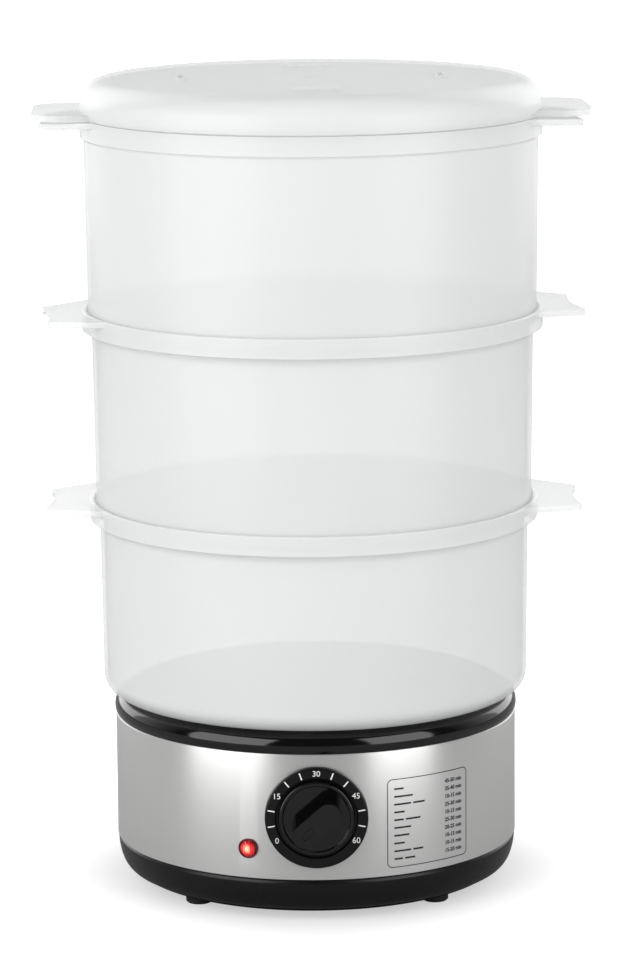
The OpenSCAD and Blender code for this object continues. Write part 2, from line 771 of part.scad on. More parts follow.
function pole(i) = [block_x + i * block_pole, block_y, block_top_z];
function around(angle, z) = [wire_ring_r * cos(angle), wire_ring_r * sin(angle), z];

module lead_live() color("#6b4226") wire([
    pole(1), pole(1) - down, around(42, 20), around(0, 22), around(-35, 30), around(-62, 58),
    [tab_side_x + 2 * lead_leg, tab_y, tab_z], [tab_side_x, tab_y, tab_z]]);

module lead_switched() color("#c33b2f") wire([
    [-tab_side_x, tab_y, tab_z], [-tab_side_x - 2 * lead_leg, tab_y, tab_z], around(-118, 58),
    around(-122, 30), around(-126, wire_low_z + 4), [-26, -30, wire_low_z],
    terminal_foot + down, terminal_foot]);

module lead_neutral() color("#2f5fa8") wire([
    pole(0), pole(0) - down, [block_x + 2, block_y - 16, wire_low_z + 6],
    [pin_at[0] + 4, pin_at[1] + 12, wire_low_z], concat(pin_at, pin_foot_z - lead_gap) + down,
    concat(pin_at, pin_foot_z - lead_gap)]);

module lead_earth() color("#7d9a35") wire([
    pole(-1), pole(-1) - down, [block_x - 14, block_y - 12, wire_low_z + 5],
    stud_foot + 2 * down, stud_foot]);

module lamp_leads() color("#c33b2f") rotate([0, 0, -lens_at]) {
    lamp_y = -(lens_back - lamp_out - lead_gap);
    for (s = [-1, 1]) wire([[s * 1.4, lamp_y, lens_z], [s * 1.5, lamp_y + 3, lens_z],
        [s * 2.4, lamp_y + 7, lens_z - 9], [s * 2.4, lamp_y + 8, base_floor_z + lead_r + lead_gap]]);
}

// ---- Inside the well --------------------------------------------------------

module steam_sleeve() color(frosted) {
    foot_z = tank_floor_z + seat_gap;
    top_r = sleeve_r - sleeve_lean;
    difference() {
        translate([0, 0, foot_z]) cylinder(r1 = sleeve_r, r2 = top_r, h = sleeve_h);
        translate([0, 0, foot_z - eps])
            cylinder(r1 = sleeve_r - tier_wall, r2 = top_r - tier_wall, h = sleeve_h + 2 * eps);
        // Gates that let the water in
        for (a = [45:90:315]) rotate([0, 0, a])
            translate([sleeve_r - 4 * tier_wall, -gate_w / 2, foot_z - 1])
                cube([8 * tier_wall, gate_w, gate_h + 1]);
    }
}

module drip_tray() color(frosted) {
    tray_t = 1.6;
    bar_w = 8;
    flange_z = ledge_z + seat_gap;
    dish_z = flange_z + tier_wall - tray_d;
    dish_r = tank_r + 8;
    dish_top_r = funnel_r - 3;
    flange_r = well_r - 0.5;
    profile = [[chimney_r, dish_z], [dish_r, dish_z], [dish_top_r, flange_z],
        [flange_r, flange_z], [flange_r, flange_z + tray_t - 0.1],
        [dish_top_r - 1, flange_z + tray_t - 0.1], [dish_r - 1, dish_z + tray_t],
        [chimney_r + tray_t, dish_z + tray_t], [chimney_r + tray_t, flange_z], [chimney_r, flange_z]];
    rotate_extrude() polygon(profile);
    // Grip bar across the chimney
    translate([-chimney_r - 0.5, -bar_w / 2, dish_z]) cube([2 * chimney_r + 1, bar_w, tray_t]);
}

// ---- Tiers ------------------------------------------------------------------

// Floor holes, as an outline: rings of holes, six more in each ring
module floor_holes(reach) {
    circle(r = hole_r);
    for (ring = [1:floor((reach - hole_r - 1) / hole_pitch)], k = [0:6 * ring - 1])
        rotate(k * 60 / ring) translate([ring * hole_pitch, 0]) circle(r = hole_r, $fn = 24);
}

// Section of a tier's shell
function tier_profile(i) = let (
    z = tier_z(i), floor_z = tier_floor_z(i), foot = tier_foot_r(i), top = tier_top_r(i),
    inner = foot - tier_wall, rim = rim_r(i), rim_z = rim_foot_z(i), top_z = rim_top_z(i),
    corner = i == 0 ? tier1_corner : upper_corner, flare = rim - top,
    base = i == 0
        ? [[0, floor_z], [ring_r - tier_wall, floor_z], [ring_r - tier_wall, z - ring_d],
            [ring_r, z - ring_d], [ring_r, z]]
        : [[0, floor_z], [inner, floor_z], [inner, z]])
    concat(base,
        arc(foot - corner, z + corner, corner, corner, -90, 0, 8),
        back(arc(top + flare, rim_z - flare, flare, flare, 90, 180, 6)),
        [[rim, rim_z + rim_round], [rim, top_z - rim_round], [rim - rim_round, top_z],
            [rim_in_r(i), top_z], [rim_in_r(i), rim_ledge_z(i)],
            [top - tier_wall + ledge_chamfer, rim_ledge_z(i)],
            [top - tier_wall, rim_ledge_z(i) - ledge_chamfer],
            [inner, floor_z + tier_wall + floor_fillet],
            [inner - 0.3 * floor_fillet, floor_z + tier_wall + 0.3 * floor_fillet],
            [inner - floor_fillet, floor_z + tier_wall], [0, floor_z + tier_wall]]);

// Plan of one handle, pointing along +X from a rim of radius r
module handle_plan(r) {
    // The hollow end is a large circle that cuts handle_notch deep
    half = handle_tip - 3;
    notch_r = (half * half + handle_notch * handle_notch) / (2 * handle_notch);
    difference() {
        polygon([[r - root_in, root_half], [handle_reach - 2, handle_tip + 1],
            [handle_reach, handle_tip - 1], [handle_reach, 1 - handle_tip],
            [handle_reach - 2, -handle_tip - 1], [r - root_in, -root_half]]);
        translate([handle_reach - handle_notch + notch_r, 0]) circle(r = notch_r);
    }
}

module tier_handles(i) {
    pivot = rim_r(i) - pivot_in;
    difference() {
        for (a = [0, 180]) rotate([0, 0, a]) translate([pivot, 0, rim_top_z(i)])
            rotate([0, handle_droop, 0]) translate([-pivot, 0, -handle_t])
                linear_extrude(handle_t) handle_plan(rim_r(i));
        translate([0, 0, rim_foot_z(i) - rim_h]) cylinder(r = rim_r(i) - 1, h = 3 * rim_h);
    }
}

module tier(i) color(frosted) {
    difference() {
        rotate_extrude() polygon(tier_profile(i));
        translate([0, 0, tier_floor_z(i) - 1]) linear_extrude(tier_wall + 2)
            floor_holes(ring_r - tier_wall);
    }
    tier_handles(i);
}

module basket_1() tier(0);
module basket_2() rotate([0, 0, tier2_turn]) tier(1);
module basket_3() tier(2);

// ---- Lid --------------------------------------------------------------------

module lid_handle_plan() {
    corner = 16;
    back_x = lid_r - 25;
    translate([back_x, -lid_handle_w]) square([lid_handle_reach - corner - back_x, 2 * lid_handle_w]);
    translate([back_x, -lid_handle_w + corner])
        square([lid_handle_reach - back_x, 2 * (lid_handle_w - corner)]);
    for (s = [-1, 1])
        translate([lid_handle_reach - corner, s * (lid_handle_w - corner)]) circle(r = corner);
}

module lid() color(frosted) rotate([0, 0, lid_turn]) {
    ridge_z = lid_top_z - 0.4;
    panel_r = lid_r - lid_shoulder - 3;
    panel_z = ridge_z - 0.7;
    shoulder_z = ridge_z - lid_shoulder;
    ceiling_z = panel_z - tier_wall;
    crown = 0.5;
    vent_foot_z = panel_z - 1;
    shell = concat(
        [[lid_r, lid_z]],
        arc(lid_r - lid_shoulder, shoulder_z, lid_shoulder, lid_shoulder, 0, 90, 9),
        [[panel_r + 1, ridge_z], [panel_r, panel_z], [0, panel_z + crown],
            [0, ceiling_z + crown], [panel_r, ceiling_z]],
        back(arc(lid_r - lid_shoulder, shoulder_z, lid_shoulder - tier_wall,
            lid_shoulder - tier_wall, 0, 80, 9)),
        [[lid_r - tier_wall, lid_z + tier_wall], [lid_lip_r - tier_wall, lid_z + tier_wall],
            [lid_lip_r - tier_wall, lid_z - lid_lip_d], [lid_lip_r, lid_z - lid_lip_d],
            [lid_lip_r, lid_z]]);
    difference() {
        union() {
            rotate_extrude() polygon(shell);
            for (a = [0:90:270]) rotate([0, 0, a]) translate([vent_at, 0, vent_foot_z])
                linear_extrude(lid_top_z - vent_foot_z) rotate(90) stadium(vent_l, vent_w);
            difference() {
                for (a = [0, 180]) rotate([0, 0, a]) translate([0, 0, lid_z])
                    linear_extrude(handle_t) lid_handle_plan();
                translate([0, 0, lid_z - handle_t]) cylinder(r = lid_r - 1, h = 3 * handle_t);
            }
        }
        // Slots that let the steam out
        for (a = [0:90:270]) rotate([0, 0, a]) translate([vent_at, 0, ceiling_z - 2])
            linear_extrude(vent_l) rotate(90) stadium(vent_l - vent_w, vent_slot_w);
    }
}

bottom_housing();
stainless_band();
reservoir();
rubber_feet();
housing_screws();
heater_plate();
heater_gasket();
heating_element();
heater_bracket();
heater_nuts();
thermostat();
thermal_fuse();
sensor_clip();
timer_body();
timer_bell();
timer_screws();
dial_ring();
pilot_lens();
pilot_lamp();
pilot_clip();
cord_gland();
terminal_block();
lead_live();
lead_switched();
lead_neutral();
lead_earth();
lamp_leads();
timer_shaft();
timer_knob();
steam_sleeve();
drip_tray();
basket_1();
basket_2();
basket_3();
lid();
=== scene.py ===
# %% [markdown]
# # A three-tier food steamer
# This appliance cooks with steam. A round base holds water, a heater and a wind-up timer. Three milky
# plastic tiers with perforated floors stand on it, and a vented lid closes the top. The imported CAD model
# is the fixed frame: it already has every piece at its real size and place. Here the visible pieces are
# built again with the round edges and soft transitions of real mouldings, and everything gets a finish.
#
# Loading comes first, because some later sizes are read from the frame.

# %% Load the imported model
import json
import math

import bmesh
import bpy
from mathutils import Matrix, Vector


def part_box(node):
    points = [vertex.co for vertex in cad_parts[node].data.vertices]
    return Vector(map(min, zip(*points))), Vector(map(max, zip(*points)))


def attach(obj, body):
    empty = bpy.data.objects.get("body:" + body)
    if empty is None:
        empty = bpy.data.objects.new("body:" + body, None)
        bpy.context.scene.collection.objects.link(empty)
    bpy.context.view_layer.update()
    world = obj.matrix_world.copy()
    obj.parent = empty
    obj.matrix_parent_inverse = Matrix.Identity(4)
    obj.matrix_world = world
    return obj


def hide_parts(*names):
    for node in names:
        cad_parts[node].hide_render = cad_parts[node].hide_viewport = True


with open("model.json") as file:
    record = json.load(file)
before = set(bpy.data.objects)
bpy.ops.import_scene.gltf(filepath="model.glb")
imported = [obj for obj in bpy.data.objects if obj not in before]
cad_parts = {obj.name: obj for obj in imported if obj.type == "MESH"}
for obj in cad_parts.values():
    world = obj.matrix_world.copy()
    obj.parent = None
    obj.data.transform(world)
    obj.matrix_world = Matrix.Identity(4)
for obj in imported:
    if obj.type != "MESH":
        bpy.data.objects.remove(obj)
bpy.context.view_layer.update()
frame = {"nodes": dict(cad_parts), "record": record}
nodes = frame["nodes"]

# %% [markdown]
# ## Sections
# Most of the steamer is turned: a section drawn beside the stack's axis goes once round it. Sections are
# drawn in millimetres, as on a workshop drawing. Sharp corners look unreal in a render, since a real tool
# always leaves a small radius, so one function draws arcs and another rounds the corners of a section.

# %% Drawing sections
MM = 0.001


def arc(centre, radius, start, end, steps=8):
    """Points on an arc of a drawing in mm, from one angle to another in degrees."""
    angles = [math.radians(start + (end - start) * i / steps) for i in range(steps + 1)]
    return [(centre[0] + radius * math.cos(a), centre[1] + radius * math.sin(a)) for a in angles]


def stadium(length, width, steps=12):
    """Plan of a slot or bar with round ends, in mm."""
    centre = length / 2 - width / 2
    return arc((centre, 0), width / 2, -90, 90, steps) + arc((-centre, 0), width / 2, 90, 270, steps)


def rounded(corners, steps=4):
    """Closed outline in which each corner (x, y, radius) is an arc, and (x, y) stays sharp."""
    points = []
    for i, corner in enumerate(corners):
        here = Vector(corner[:2])
        before = Vector(corners[i - 1][:2]) - here
        after = Vector(corners[(i + 1) % len(corners)][:2]) - here
        if len(corner) < 3 or min(before.length, after.length) < 1e-6:
            points.append(tuple(here))
            continue
        half = before.angle(after) / 2
        reach = min(corner[2] / math.tan(half), 0.49 * before.length, 0.49 * after.length)
        radius = reach * math.tan(half)
        middle = (before.normalized() + after.normalized()).normalized()
        centre = here + middle * radius / math.sin(half)
        first = here + before.normalized() * reach - centre
        turn = first.angle_signed(here + after.normalized() * reach - centre)
        for k in range(steps + 1):
            a = turn * k / steps
            points.append((centre.x + first.x * math.cos(a) + first.y * math.sin(a),
                           centre.y - first.x * math.sin(a) + first.y * math.cos(a)))
    return points


def area_of(outline):
    """Twice the signed area of an outline, which is positive when it runs anticlockwise."""
    return sum(a[0] * b[1] - b[0] * a[1] for a, b in zip(outline, outline[1:] + outline[:1]))


print("a round bar of 24 by 6 mm has", len(stadium(24, 6)), "points in its plan")

# %% [markdown]
# ## Turning
# Each point of a section becomes a ring of corners, or one corner where it lies on the axis, and faces join
# each ring to the next. Blender's own Spin would leave doubles on the axis and give no unwrapped map. This
# function writes the map as it goes, so a brushed pattern can follow the metal round the drum.

# %% Turning a section
TURN_STEPS = 192


def new_piece(name, mesh):
    """A new object in the scene that holds the given mesh."""
    piece = bpy.data.objects.new(name, mesh)
    bpy.context.scene.collection.objects.link(piece)
    return piece


def smooth(piece, angle=32):
    """Shades a piece smoothly, and keeps edges sharper than the angle as edges."""
    piece.data.shade_smooth()
    piece.data.set_sharp_from_angle(angle=math.radians(angle))
    return piece


def turned(name, outline, steps=TURN_STEPS, place=None):
    """Turns a closed section of (radius, height) points in mm once round the axis."""
    if area_of(outline) < 0:
        outline = outline[::-1]
    widest = max(r for r, _ in outline)
    vertices, rings, lengths = [], [], [0.0]
    for i, (r, z) in enumerate(outline):
        count = steps if r > 1e-6 else 1
        rings.append((len(vertices), count))
        for k in range(count):
            a = 2 * math.pi * k / steps
            vertices.append((r * math.cos(a) * MM, r * math.sin(a) * MM, z * MM))
        lengths.append(lengths[-1] + (Vector(outline[(i + 1) % len(outline)]) - Vector((r, z))).length)
    faces, uvs = [], []
    for i, (start, count) in enumerate(rings):
        next_start, next_count = rings[(i + 1) % len(rings)]
        if count == 1 and next_count == 1:
            continue
        v0, v1 = lengths[i] * MM, lengths[i + 1] * MM
        for k in range(steps):
            n = (k + 1) % steps
            u0, u1 = (2 * math.pi * widest * MM * j / steps for j in (k, k + 1))
            corners = [(start + k % count, u0, v0), (start + n % count, u1, v0),
                       (next_start + n % next_count, u1, v1), (next_start + k % next_count, u0, v1)]
            kept = [c for j, c in enumerate(corners) if c[0] != corners[j - 1][0]]
            faces.append([c[0] for c in kept])
            uvs.extend(c[1:] for c in kept)
    mesh = bpy.data.meshes.new(name)
    mesh.from_pydata(vertices, [], faces)
    layer = mesh.uv_layers.new(name="UVMap")
    layer.data.foreach_set("uv", [value for uv in uvs for value in uv])
    if place is not None:
        mesh.transform(place)
    return smooth(new_piece(name, mesh))


def bar(name, radius, low, high, place=None, steps=64):
    """A plain round bar, used as a drill or a boss."""
    return turned(name, [(0, low), (radius, low), (radius, high), (0, high)], steps, place)


print("turned pieces have", TURN_STEPS, "steps round the axis")

# %% [markdown]
# ## Plates
# Handles, slots and the grip of the knob are flat pieces with a plan. They are extruded from the plan,
# and the edges of both ends are bevelled by the radius that their mould leaves.

# %% Extruding a plan
CORNERS = ((-1, -1), (1, -1), (1, 1), (-1, 1))


def plate(name, plan, low, high, edge=0.0, place=None, steps=3):
    """Extrudes a plan in mm from one height to another and rounds the edges of both ends."""
    if area_of(plan) < 0:
        plan = plan[::-1]
    shape = bmesh.new()
    lower = [shape.verts.new((x * MM, y * MM, low * MM)) for x, y in plan]
    upper = [shape.verts.new((x * MM, y * MM, high * MM)) for x, y in plan]
    ends = [shape.faces.new(lower[::-1]), shape.faces.new(upper)]
    for i in range(len(plan)):
        n = (i + 1) % len(plan)
        shape.faces.new((lower[i], lower[n], upper[n], upper[i]))
    if edge:
        rims = [e for face in ends for e in face.edges]
        bmesh.ops.bevel(shape, geom=rims, offset=edge * MM, offset_type="OFFSET", segments=steps,
                        profile=0.5, affect="EDGES", clamp_overlap=True)
    mesh = bpy.data.meshes.new(name)
    shape.to_mesh(mesh)
    shape.free()
    if place is not None:
        mesh.transform(place)
    return smooth(new_piece(name, mesh))


print("plates start from a plan, with", len(CORNERS), "corners where it is square")

# %% [markdown]
# ## Joining and cutting
# The separate bodies of one moulding are joined or cut with booleans. The manifold solver is the right one
# here, because every body is closed and it is quick and exact. A boolean leaves long thin faces, and they
# bend the shading of a flat area, so weighted normals then keep the flat faces flat to the eye.

# %% Booleans
def take_result(piece):
    """Turns what a piece's modifiers make into its own plain mesh, and removes them."""
    evaluated = piece.evaluated_get(bpy.context.evaluated_depsgraph_get())
    mesh = bpy.data.meshes.new_from_object(evaluated, preserve_all_data_layers=True,
                                           depsgraph=bpy.context.evaluated_depsgraph_get())
    mesh.name = piece.name
    piece.modifiers.clear()
    piece.data = mesh
    return piece


def combine(piece, operation, others):
    """Joins or cuts a closed piece with others, which are used up."""
    for other in others:
        step = piece.modifiers.new(operation, "BOOLEAN")
        step.operation = operation
        step.solver = "MANIFOLD"
        step.object = other
    take_result(piece)
    for other in others:
        bpy.data.objects.remove(other)
    if not piece.data.polygons:
        raise RuntimeError(piece.name + " lost its mesh")
    return smooth(piece)


def even_normals(piece):
    """Keeps flat faces flat to the eye, and lets only the rounded edges between them turn the light."""
    step = piece.modifiers.new("even_normals", "WEIGHTED_NORMAL")
    step.keep_sharp = True
    step.weight = 90
    return take_result(piece)


print("booleans and even normals are ready")

# %% [markdown]
# ## Finishes
# Each finish starts from what the real surface is. One function turns a colour from a colour picker into
# the linear values that the renderer works with, and one small function adds a node with its settings
# and links.

# %% Colour and nodes
def linear(code):
    """Linear colour of an sRGB hex code."""
    values = [int(code[i:i + 2], 16) / 255 for i in (1, 3, 5)]
    return [v / 12.92 if v <= 0.04045 else ((v + 0.055) / 1.055) ** 2.4 for v in values] + [1.0]


def add_node(tree, kind, settings=None, inputs=None):
    """Adds a node, sets its properties, and sets or links its inputs."""
    node = tree.nodes.new(kind)
    for key, value in (settings or {}).items():
        setattr(node, key, value)
    for key, value in (inputs or {}).items():
        if isinstance(value, bpy.types.NodeSocket):
            tree.links.new(value, node.inputs[key])
        else:
            node.inputs[key].default_value = value
    return node


def new_finish(name, colour, sockets):
    """A material with one surface shader, whose sockets are set to plain values."""
    material = bpy.data.materials.new(name)
    material.use_nodes = True
    shader = material.node_tree.nodes["Principled BSDF"]
    shader.inputs["Base Color"].default_value = linear(colour)
    for socket, value in sockets.items():
        shader.inputs[socket].default_value = value
    return material, material.node_tree, shader


print("a middle grey of 808080 is", round(linear("#808080")[0], 3), "in linear light")

# %% [markdown]
# Two patterns are shared. A moulded grain is a very shallow bump, as a blasted mould leaves it. An uneven
# gloss lets the roughness drift a little over patches, which keeps a large plain area from looking like a
# perfect computer surface. Both take their scale from a real size in millimetres.

# %% Grain and uneven gloss
NOISE_LOW, NOISE_HIGH = 0.3, 0.7


def moulded_grain(tree, shader, grain_mm, depth_mm):
    """Shallow bumps of the mould's own surface, about one grain across."""
    place = add_node(tree, "ShaderNodeTexCoord")
    noise = add_node(tree, "ShaderNodeTexNoise", None,
                     {"Vector": place.outputs["Object"], "Scale": 1 / (grain_mm * MM), "Detail": 2.0})
    bump = add_node(tree, "ShaderNodeBump", None,
                    {"Height": noise.outputs["Fac"], "Strength": 1.0, "Distance": depth_mm * MM})
    tree.links.new(bump.outputs["Normal"], shader.inputs["Normal"])


def uneven_gloss(tree, shader, patch_mm, smoothest, roughest):
    """Roughness that drifts between two values over patches of the given size."""
    place = add_node(tree, "ShaderNodeTexCoord")
    noise = add_node(tree, "ShaderNodeTexNoise", None,
                     {"Vector": place.outputs["Object"], "Scale": 1 / (patch_mm * MM), "Detail": 3.0})
    drift = add_node(tree, "ShaderNodeMapRange", None,
                     {"Value": noise.outputs["Fac"], "From Min": NOISE_LOW, "From Max": NOISE_HIGH,
                      "To Min": smoothest, "To Max": roughest})
    tree.links.new(drift.outputs["Result"], shader.inputs["Roughness"])


print("shared patterns: moulded grain and uneven gloss")

# %% [markdown]
# ### Black mouldings
# The ring, the tank and the knob are glossy ABS: nearly black, with clear reflections. The lower shell
# and the dial ring are the same plastic from a blasted mould, so they scatter the reflections into a
# soft sheen. Both need very dark colours, because nearly all the light that the eye sees on them is
# reflection. The feet are moulded rubber, which has no gloss at all and looks dark grey beside them.

# %% Black plastics
gloss_abs, tree, shader = new_finish("glossy_black_abs", "#070708", {"IOR": 1.54})
uneven_gloss(tree, shader, patch_mm=30, smoothest=0.07, roughest=0.11)

# Less reflection than the glossy one, as the fine texture traps some of the light.
satin_abs, tree, shader = new_finish("satin_black_abs", "#0A0A0B", {"IOR": 1.5, "Specular IOR Level": 0.34})
uneven_gloss(tree, shader, patch_mm=25, smoothest=0.26, roughest=0.33)
moulded_grain(tree, shader, grain_mm=0.6, depth_mm=0.004)

rubber, tree, shader = new_finish("moulded_black_rubber", "#161616", {"IOR": 1.52})
uneven_gloss(tree, shader, patch_mm=8, smoothest=0.7, roughest=0.85)
moulded_grain(tree, shader, grain_mm=0.8, depth_mm=0.01)
print("black finishes:", gloss_abs.name, satin_abs.name, rubber.name)

# %% [markdown]
# ### Milky polypropylene
# The tiers, lid, drip tray and sleeve are moulded from unfilled polypropylene. It lets light through but
# no picture, and each wall adds a white veil, so where walls overlap the eye sees a denser white. A rough
# transmission could do that, but it darkens with every wall and turns grey. So the plastic is a white
# surface with a soft gloss that is a little see-through.

# %% Milky plastic
milky_pp, tree, shader = new_finish("milky_polypropylene", "#F3F4F4", {"IOR": 1.49, "Alpha": 0.56})
uneven_gloss(tree, shader, patch_mm=60, smoothest=0.29, roughest=0.35)
print("see-through share of one wall:", round(1 - shader.inputs["Alpha"].default_value, 2))

# %% [markdown]
# ### Brushed stainless steel
# The band is sheet that was brushed along its length before it was rolled. The scratches run round the
# base, so they spread reflections up and down and leave them fairly narrow sideways: soft upright stripes
# of light. The lines follow the band's own unwrapped map and are drawn 0.35 mm apart, about ten times as
# coarse as real brushing, because finer ones don't show in the picture. The metal is mixed with a little
# plain grey, as the film of oxide and fingerprints on a real band dulls its mirror.

# %% Brushed steel
SCRATCH_L = 60.0
SCRATCH_STEP = 0.35
SCRATCH_D = 0.01
steel, tree, shader = new_finish("brushed_stainless_steel", "#E4E4E3",
                                 {"Metallic": 0.8, "Anisotropic": 0.5, "Anisotropic Rotation": 0.25})
unwrapped = add_node(tree, "ShaderNodeTexCoord")
brushed = add_node(tree, "ShaderNodeMapping", None,
                   {"Vector": unwrapped.outputs["UV"],
                    "Scale": (1 / (SCRATCH_L * MM), 1 / (SCRATCH_STEP * MM), 1.0)})
scratches = add_node(tree, "ShaderNodeTexNoise", None,
                     {"Vector": brushed.outputs["Vector"], "Scale": 1.0, "Detail": 4.0})
sheen = add_node(tree, "ShaderNodeMapRange", None,
                 {"Value": scratches.outputs["Fac"], "From Min": 0.25, "From Max": 0.75,
                  "To Min": 0.285, "To Max": 0.34})
grooves = add_node(tree, "ShaderNodeBump", None,
                   {"Height": scratches.outputs["Fac"], "Strength": 0.08, "Distance": SCRATCH_D * MM})
along = add_node(tree, "ShaderNodeTangent", {"direction_type": "UV_MAP", "uv_map": "UVMap"})
tree.links.new(sheen.outputs["Result"], shader.inputs["Roughness"])
tree.links.new(grooves.outputs["Normal"], shader.inputs["Normal"])
tree.links.new(along.outputs["Tangent"], shader.inputs["Tangent"])
print("brushed lines:", SCRATCH_L, "mm long,", SCRATCH_STEP, "mm apart")

# %% [markdown]
# ### Materials of the inner parts
# Nobody sees the heater, the timer and the wiring while the steamer works, but the part can be taken
# apart, so they get real finishes too: zinc plating with its faint patchy bloom, a satin heater plate, an
# element sheath browned by heat, and cable insulation in the usual colours.

# %% Inner materials
WIRE_COLOURS = {"wire_brown": "#6B4226", "wire_red": "#C0362B", "wire_blue": "#2B5CA8",
                "wire_green": "#7FA032"}


def inner_finish(name, colour, sockets, patch_mm, smoothest, roughest):
    """A finish with an uneven gloss and nothing else."""
    material, tree, shader = new_finish(name, colour, sockets)
    uneven_gloss(tree, shader, patch_mm, smoothest, roughest)
    return material


METAL = {"Metallic": 1.0}
zinc = inner_finish("zinc_plated_steel", "#C3C7CC", METAL, 4, 0.28, 0.46)
heater_steel = inner_finish("satin_stainless_heater_plate", "#C9C9C7", METAL, 10, 0.25, 0.38)
sheath = inner_finish("oxidised_element_sheath", "#7E766C", METAL, 3, 0.4, 0.6)
brass = inner_finish("polished_bell_brass", "#D9B45E", METAL, 12, 0.16, 0.26)
silicone = inner_finish("red_silicone_gasket", "#A8503A", {"IOR": 1.41}, 5, 0.5, 0.65)
phenolic = inner_finish("ivory_heat_proof_moulding", "#DED8C6", {"IOR": 1.55}, 8, 0.42, 0.55)
lamp_glass = inner_finish("neon_lamp_glass", "#F2D9B8", {"IOR": 1.5, "Transmission Weight": 0.7},
                          4, 0.04, 0.1)
insulation = {slot: inner_finish("pvc_" + slot, code, {"IOR": 1.53}, 6, 0.35, 0.5)
              for slot, code in WIRE_COLOURS.items()}
print("inner finishes:", 7 + len(insulation))

# %% [markdown]
# ### Printing inks
# The dial is printed in white and the band in black. Both inks dry to a flat, slightly uneven film, which
# the eye sees as crisp lettering with hardly any shine against the glossy surface round it.

# %% Inks
white_print, tree, shader = new_finish("white_pad_printing_ink", "#ECECEA", {"IOR": 1.5})
uneven_gloss(tree, shader, patch_mm=3, smoothest=0.4, roughest=0.55)
black_print, tree, shader = new_finish("black_screen_printing_ink", "#1E1E20", {"IOR": 1.5})
uneven_gloss(tree, shader, patch_mm=3, smoothest=0.4, roughest=0.55)
print("inks:", white_print.name, black_print.name)

# %% [markdown]
# ### Where the dial and the lamp face
# The dial and the lens are turned about axes of their own that stick out of the base. Each is drawn lying
# on the table with its height as the distance from the stack's axis, and one matrix then faces it.

# %% Places of the dial and the lens
BAND_R = 100.0
DIAL_Z = 53.7
LENS_ANGLE = 19.2
LENS_Z = 37.1
LENS_FACE = BAND_R + 1.2
LENS_DOME = 1.7
upright = Matrix.Rotation(math.radians(90), 4, "X")
facing_dial = Matrix.Translation((0, 0, DIAL_Z * MM)) @ upright
facing_lens = (Matrix.Rotation(math.radians(-LENS_ANGLE), 4, "Z")
               @ Matrix.Translation((0, 0, LENS_Z * MM)) @ upright)
lens_centre = facing_lens @ Vector((0, 0, (LENS_FACE + LENS_DOME) * MM))
print("top of the lens at", [round(v, 4) for v in lens_centre])

# %% [markdown]
# ### Lit red jewel
# The jewel of the pilot lamp is clear red polycarbonate with a lit neon lamp behind it. The middle glows
# almost white-yellow, and the light falls off to a dark rim. A colour ramp over the distance from the
# jewel's own centre makes that glow. Upright flutes inside the jewel draw the light into streaks, so a
# noise that is stretched upwards shifts the ramp a little.

# %% Red polycarbonate
GLOW_R = 5.2
FLUTE_W = 0.7
FLUTE_L = 12.0
FLUTE_SHIFT = 0.13
GLOW_STOPS = ((0.0, "#FFF8DC"), (0.2, "#FFC8A0"), (0.34, "#F4544C"), (0.58, "#D8282E"),
              (0.78, "#7A1014"), (0.88, "#160102"))
red_lens, tree, shader = new_finish("lit_red_polycarbonate", "#5A0A0C",
                                    {"IOR": 1.58, "Roughness": 0.08, "Transmission Weight": 0.2,
                                     "Emission Strength": 1.0})
place = add_node(tree, "ShaderNodeTexCoord")
from_lamp = add_node(tree, "ShaderNodeVectorMath", {"operation": "DISTANCE"},
                     {0: place.outputs["Object"], 1: lens_centre})
near_lamp = add_node(tree, "ShaderNodeMapRange", None,
                     {"Value": from_lamp.outputs["Value"], "From Min": 0.0, "From Max": GLOW_R * MM})
stretched = add_node(tree, "ShaderNodeMapping", None,
                     {"Vector": place.outputs["Object"],
                      "Scale": (1 / (FLUTE_W * MM), 1 / (FLUTE_W * MM), 1 / (FLUTE_L * MM))})
flutes = add_node(tree, "ShaderNodeTexNoise", None, {"Vector": stretched.outputs["Vector"], "Scale": 1.0})
spread = add_node(tree, "ShaderNodeMapRange", None,
                  {"Value": flutes.outputs["Fac"], "From Min": NOISE_LOW, "From Max": NOISE_HIGH,
                   "To Min": -FLUTE_SHIFT, "To Max": FLUTE_SHIFT})
streaky = add_node(tree, "ShaderNodeMath", {"operation": "ADD"},
                   {0: near_lamp.outputs["Result"], 1: spread.outputs["Result"]})
glow = add_node(tree, "ShaderNodeValToRGB", None, {"Fac": streaky.outputs["Value"]})
ramp = glow.color_ramp
for position, _ in GLOW_STOPS[1:-1]:
    ramp.elements.new(position)
for stop, (position, code) in zip(ramp.elements, GLOW_STOPS):
    stop.position = position
    stop.color = linear(code)
tree.links.new(glow.outputs["Color"], shader.inputs["Emission Color"])
print("glow of the lens:", len(ramp.elements), "stops")

# %% [markdown]
# ### A finish for every CAD node
# The record names a material slot for each node. A table gives the finish of each slot, and every node of
# the imported model gets its own at once, so nothing is ever left in plain grey. One function does the rest
# for a piece that is built here: it gives the piece the finish of its slot and its body, and hides the node
# that it stands for.

# %% Finishes on the frame
FINISH_OF_SLOT = {"gloss_black": gloss_abs, "satin_black": satin_abs, "brushed_steel": steel,
                  "frosted_plastic": milky_pp, "rubber_black": rubber, "zinc_steel": zinc,
                  "heater_steel": heater_steel, "silicone": silicone, "element_sheath": sheath,
                  "ivory_plastic": phenolic, "bell_brass": brass, "red_lens": red_lens,
                  "lamp_glass": lamp_glass, **insulation}
slot_of_node = {row["node"]: row["material_slot"] for row in frame["record"]["subparts"]}
for name, node in nodes.items():
    node.data.materials.clear()
    node.data.materials.append(FINISH_OF_SLOT[slot_of_node[name]])


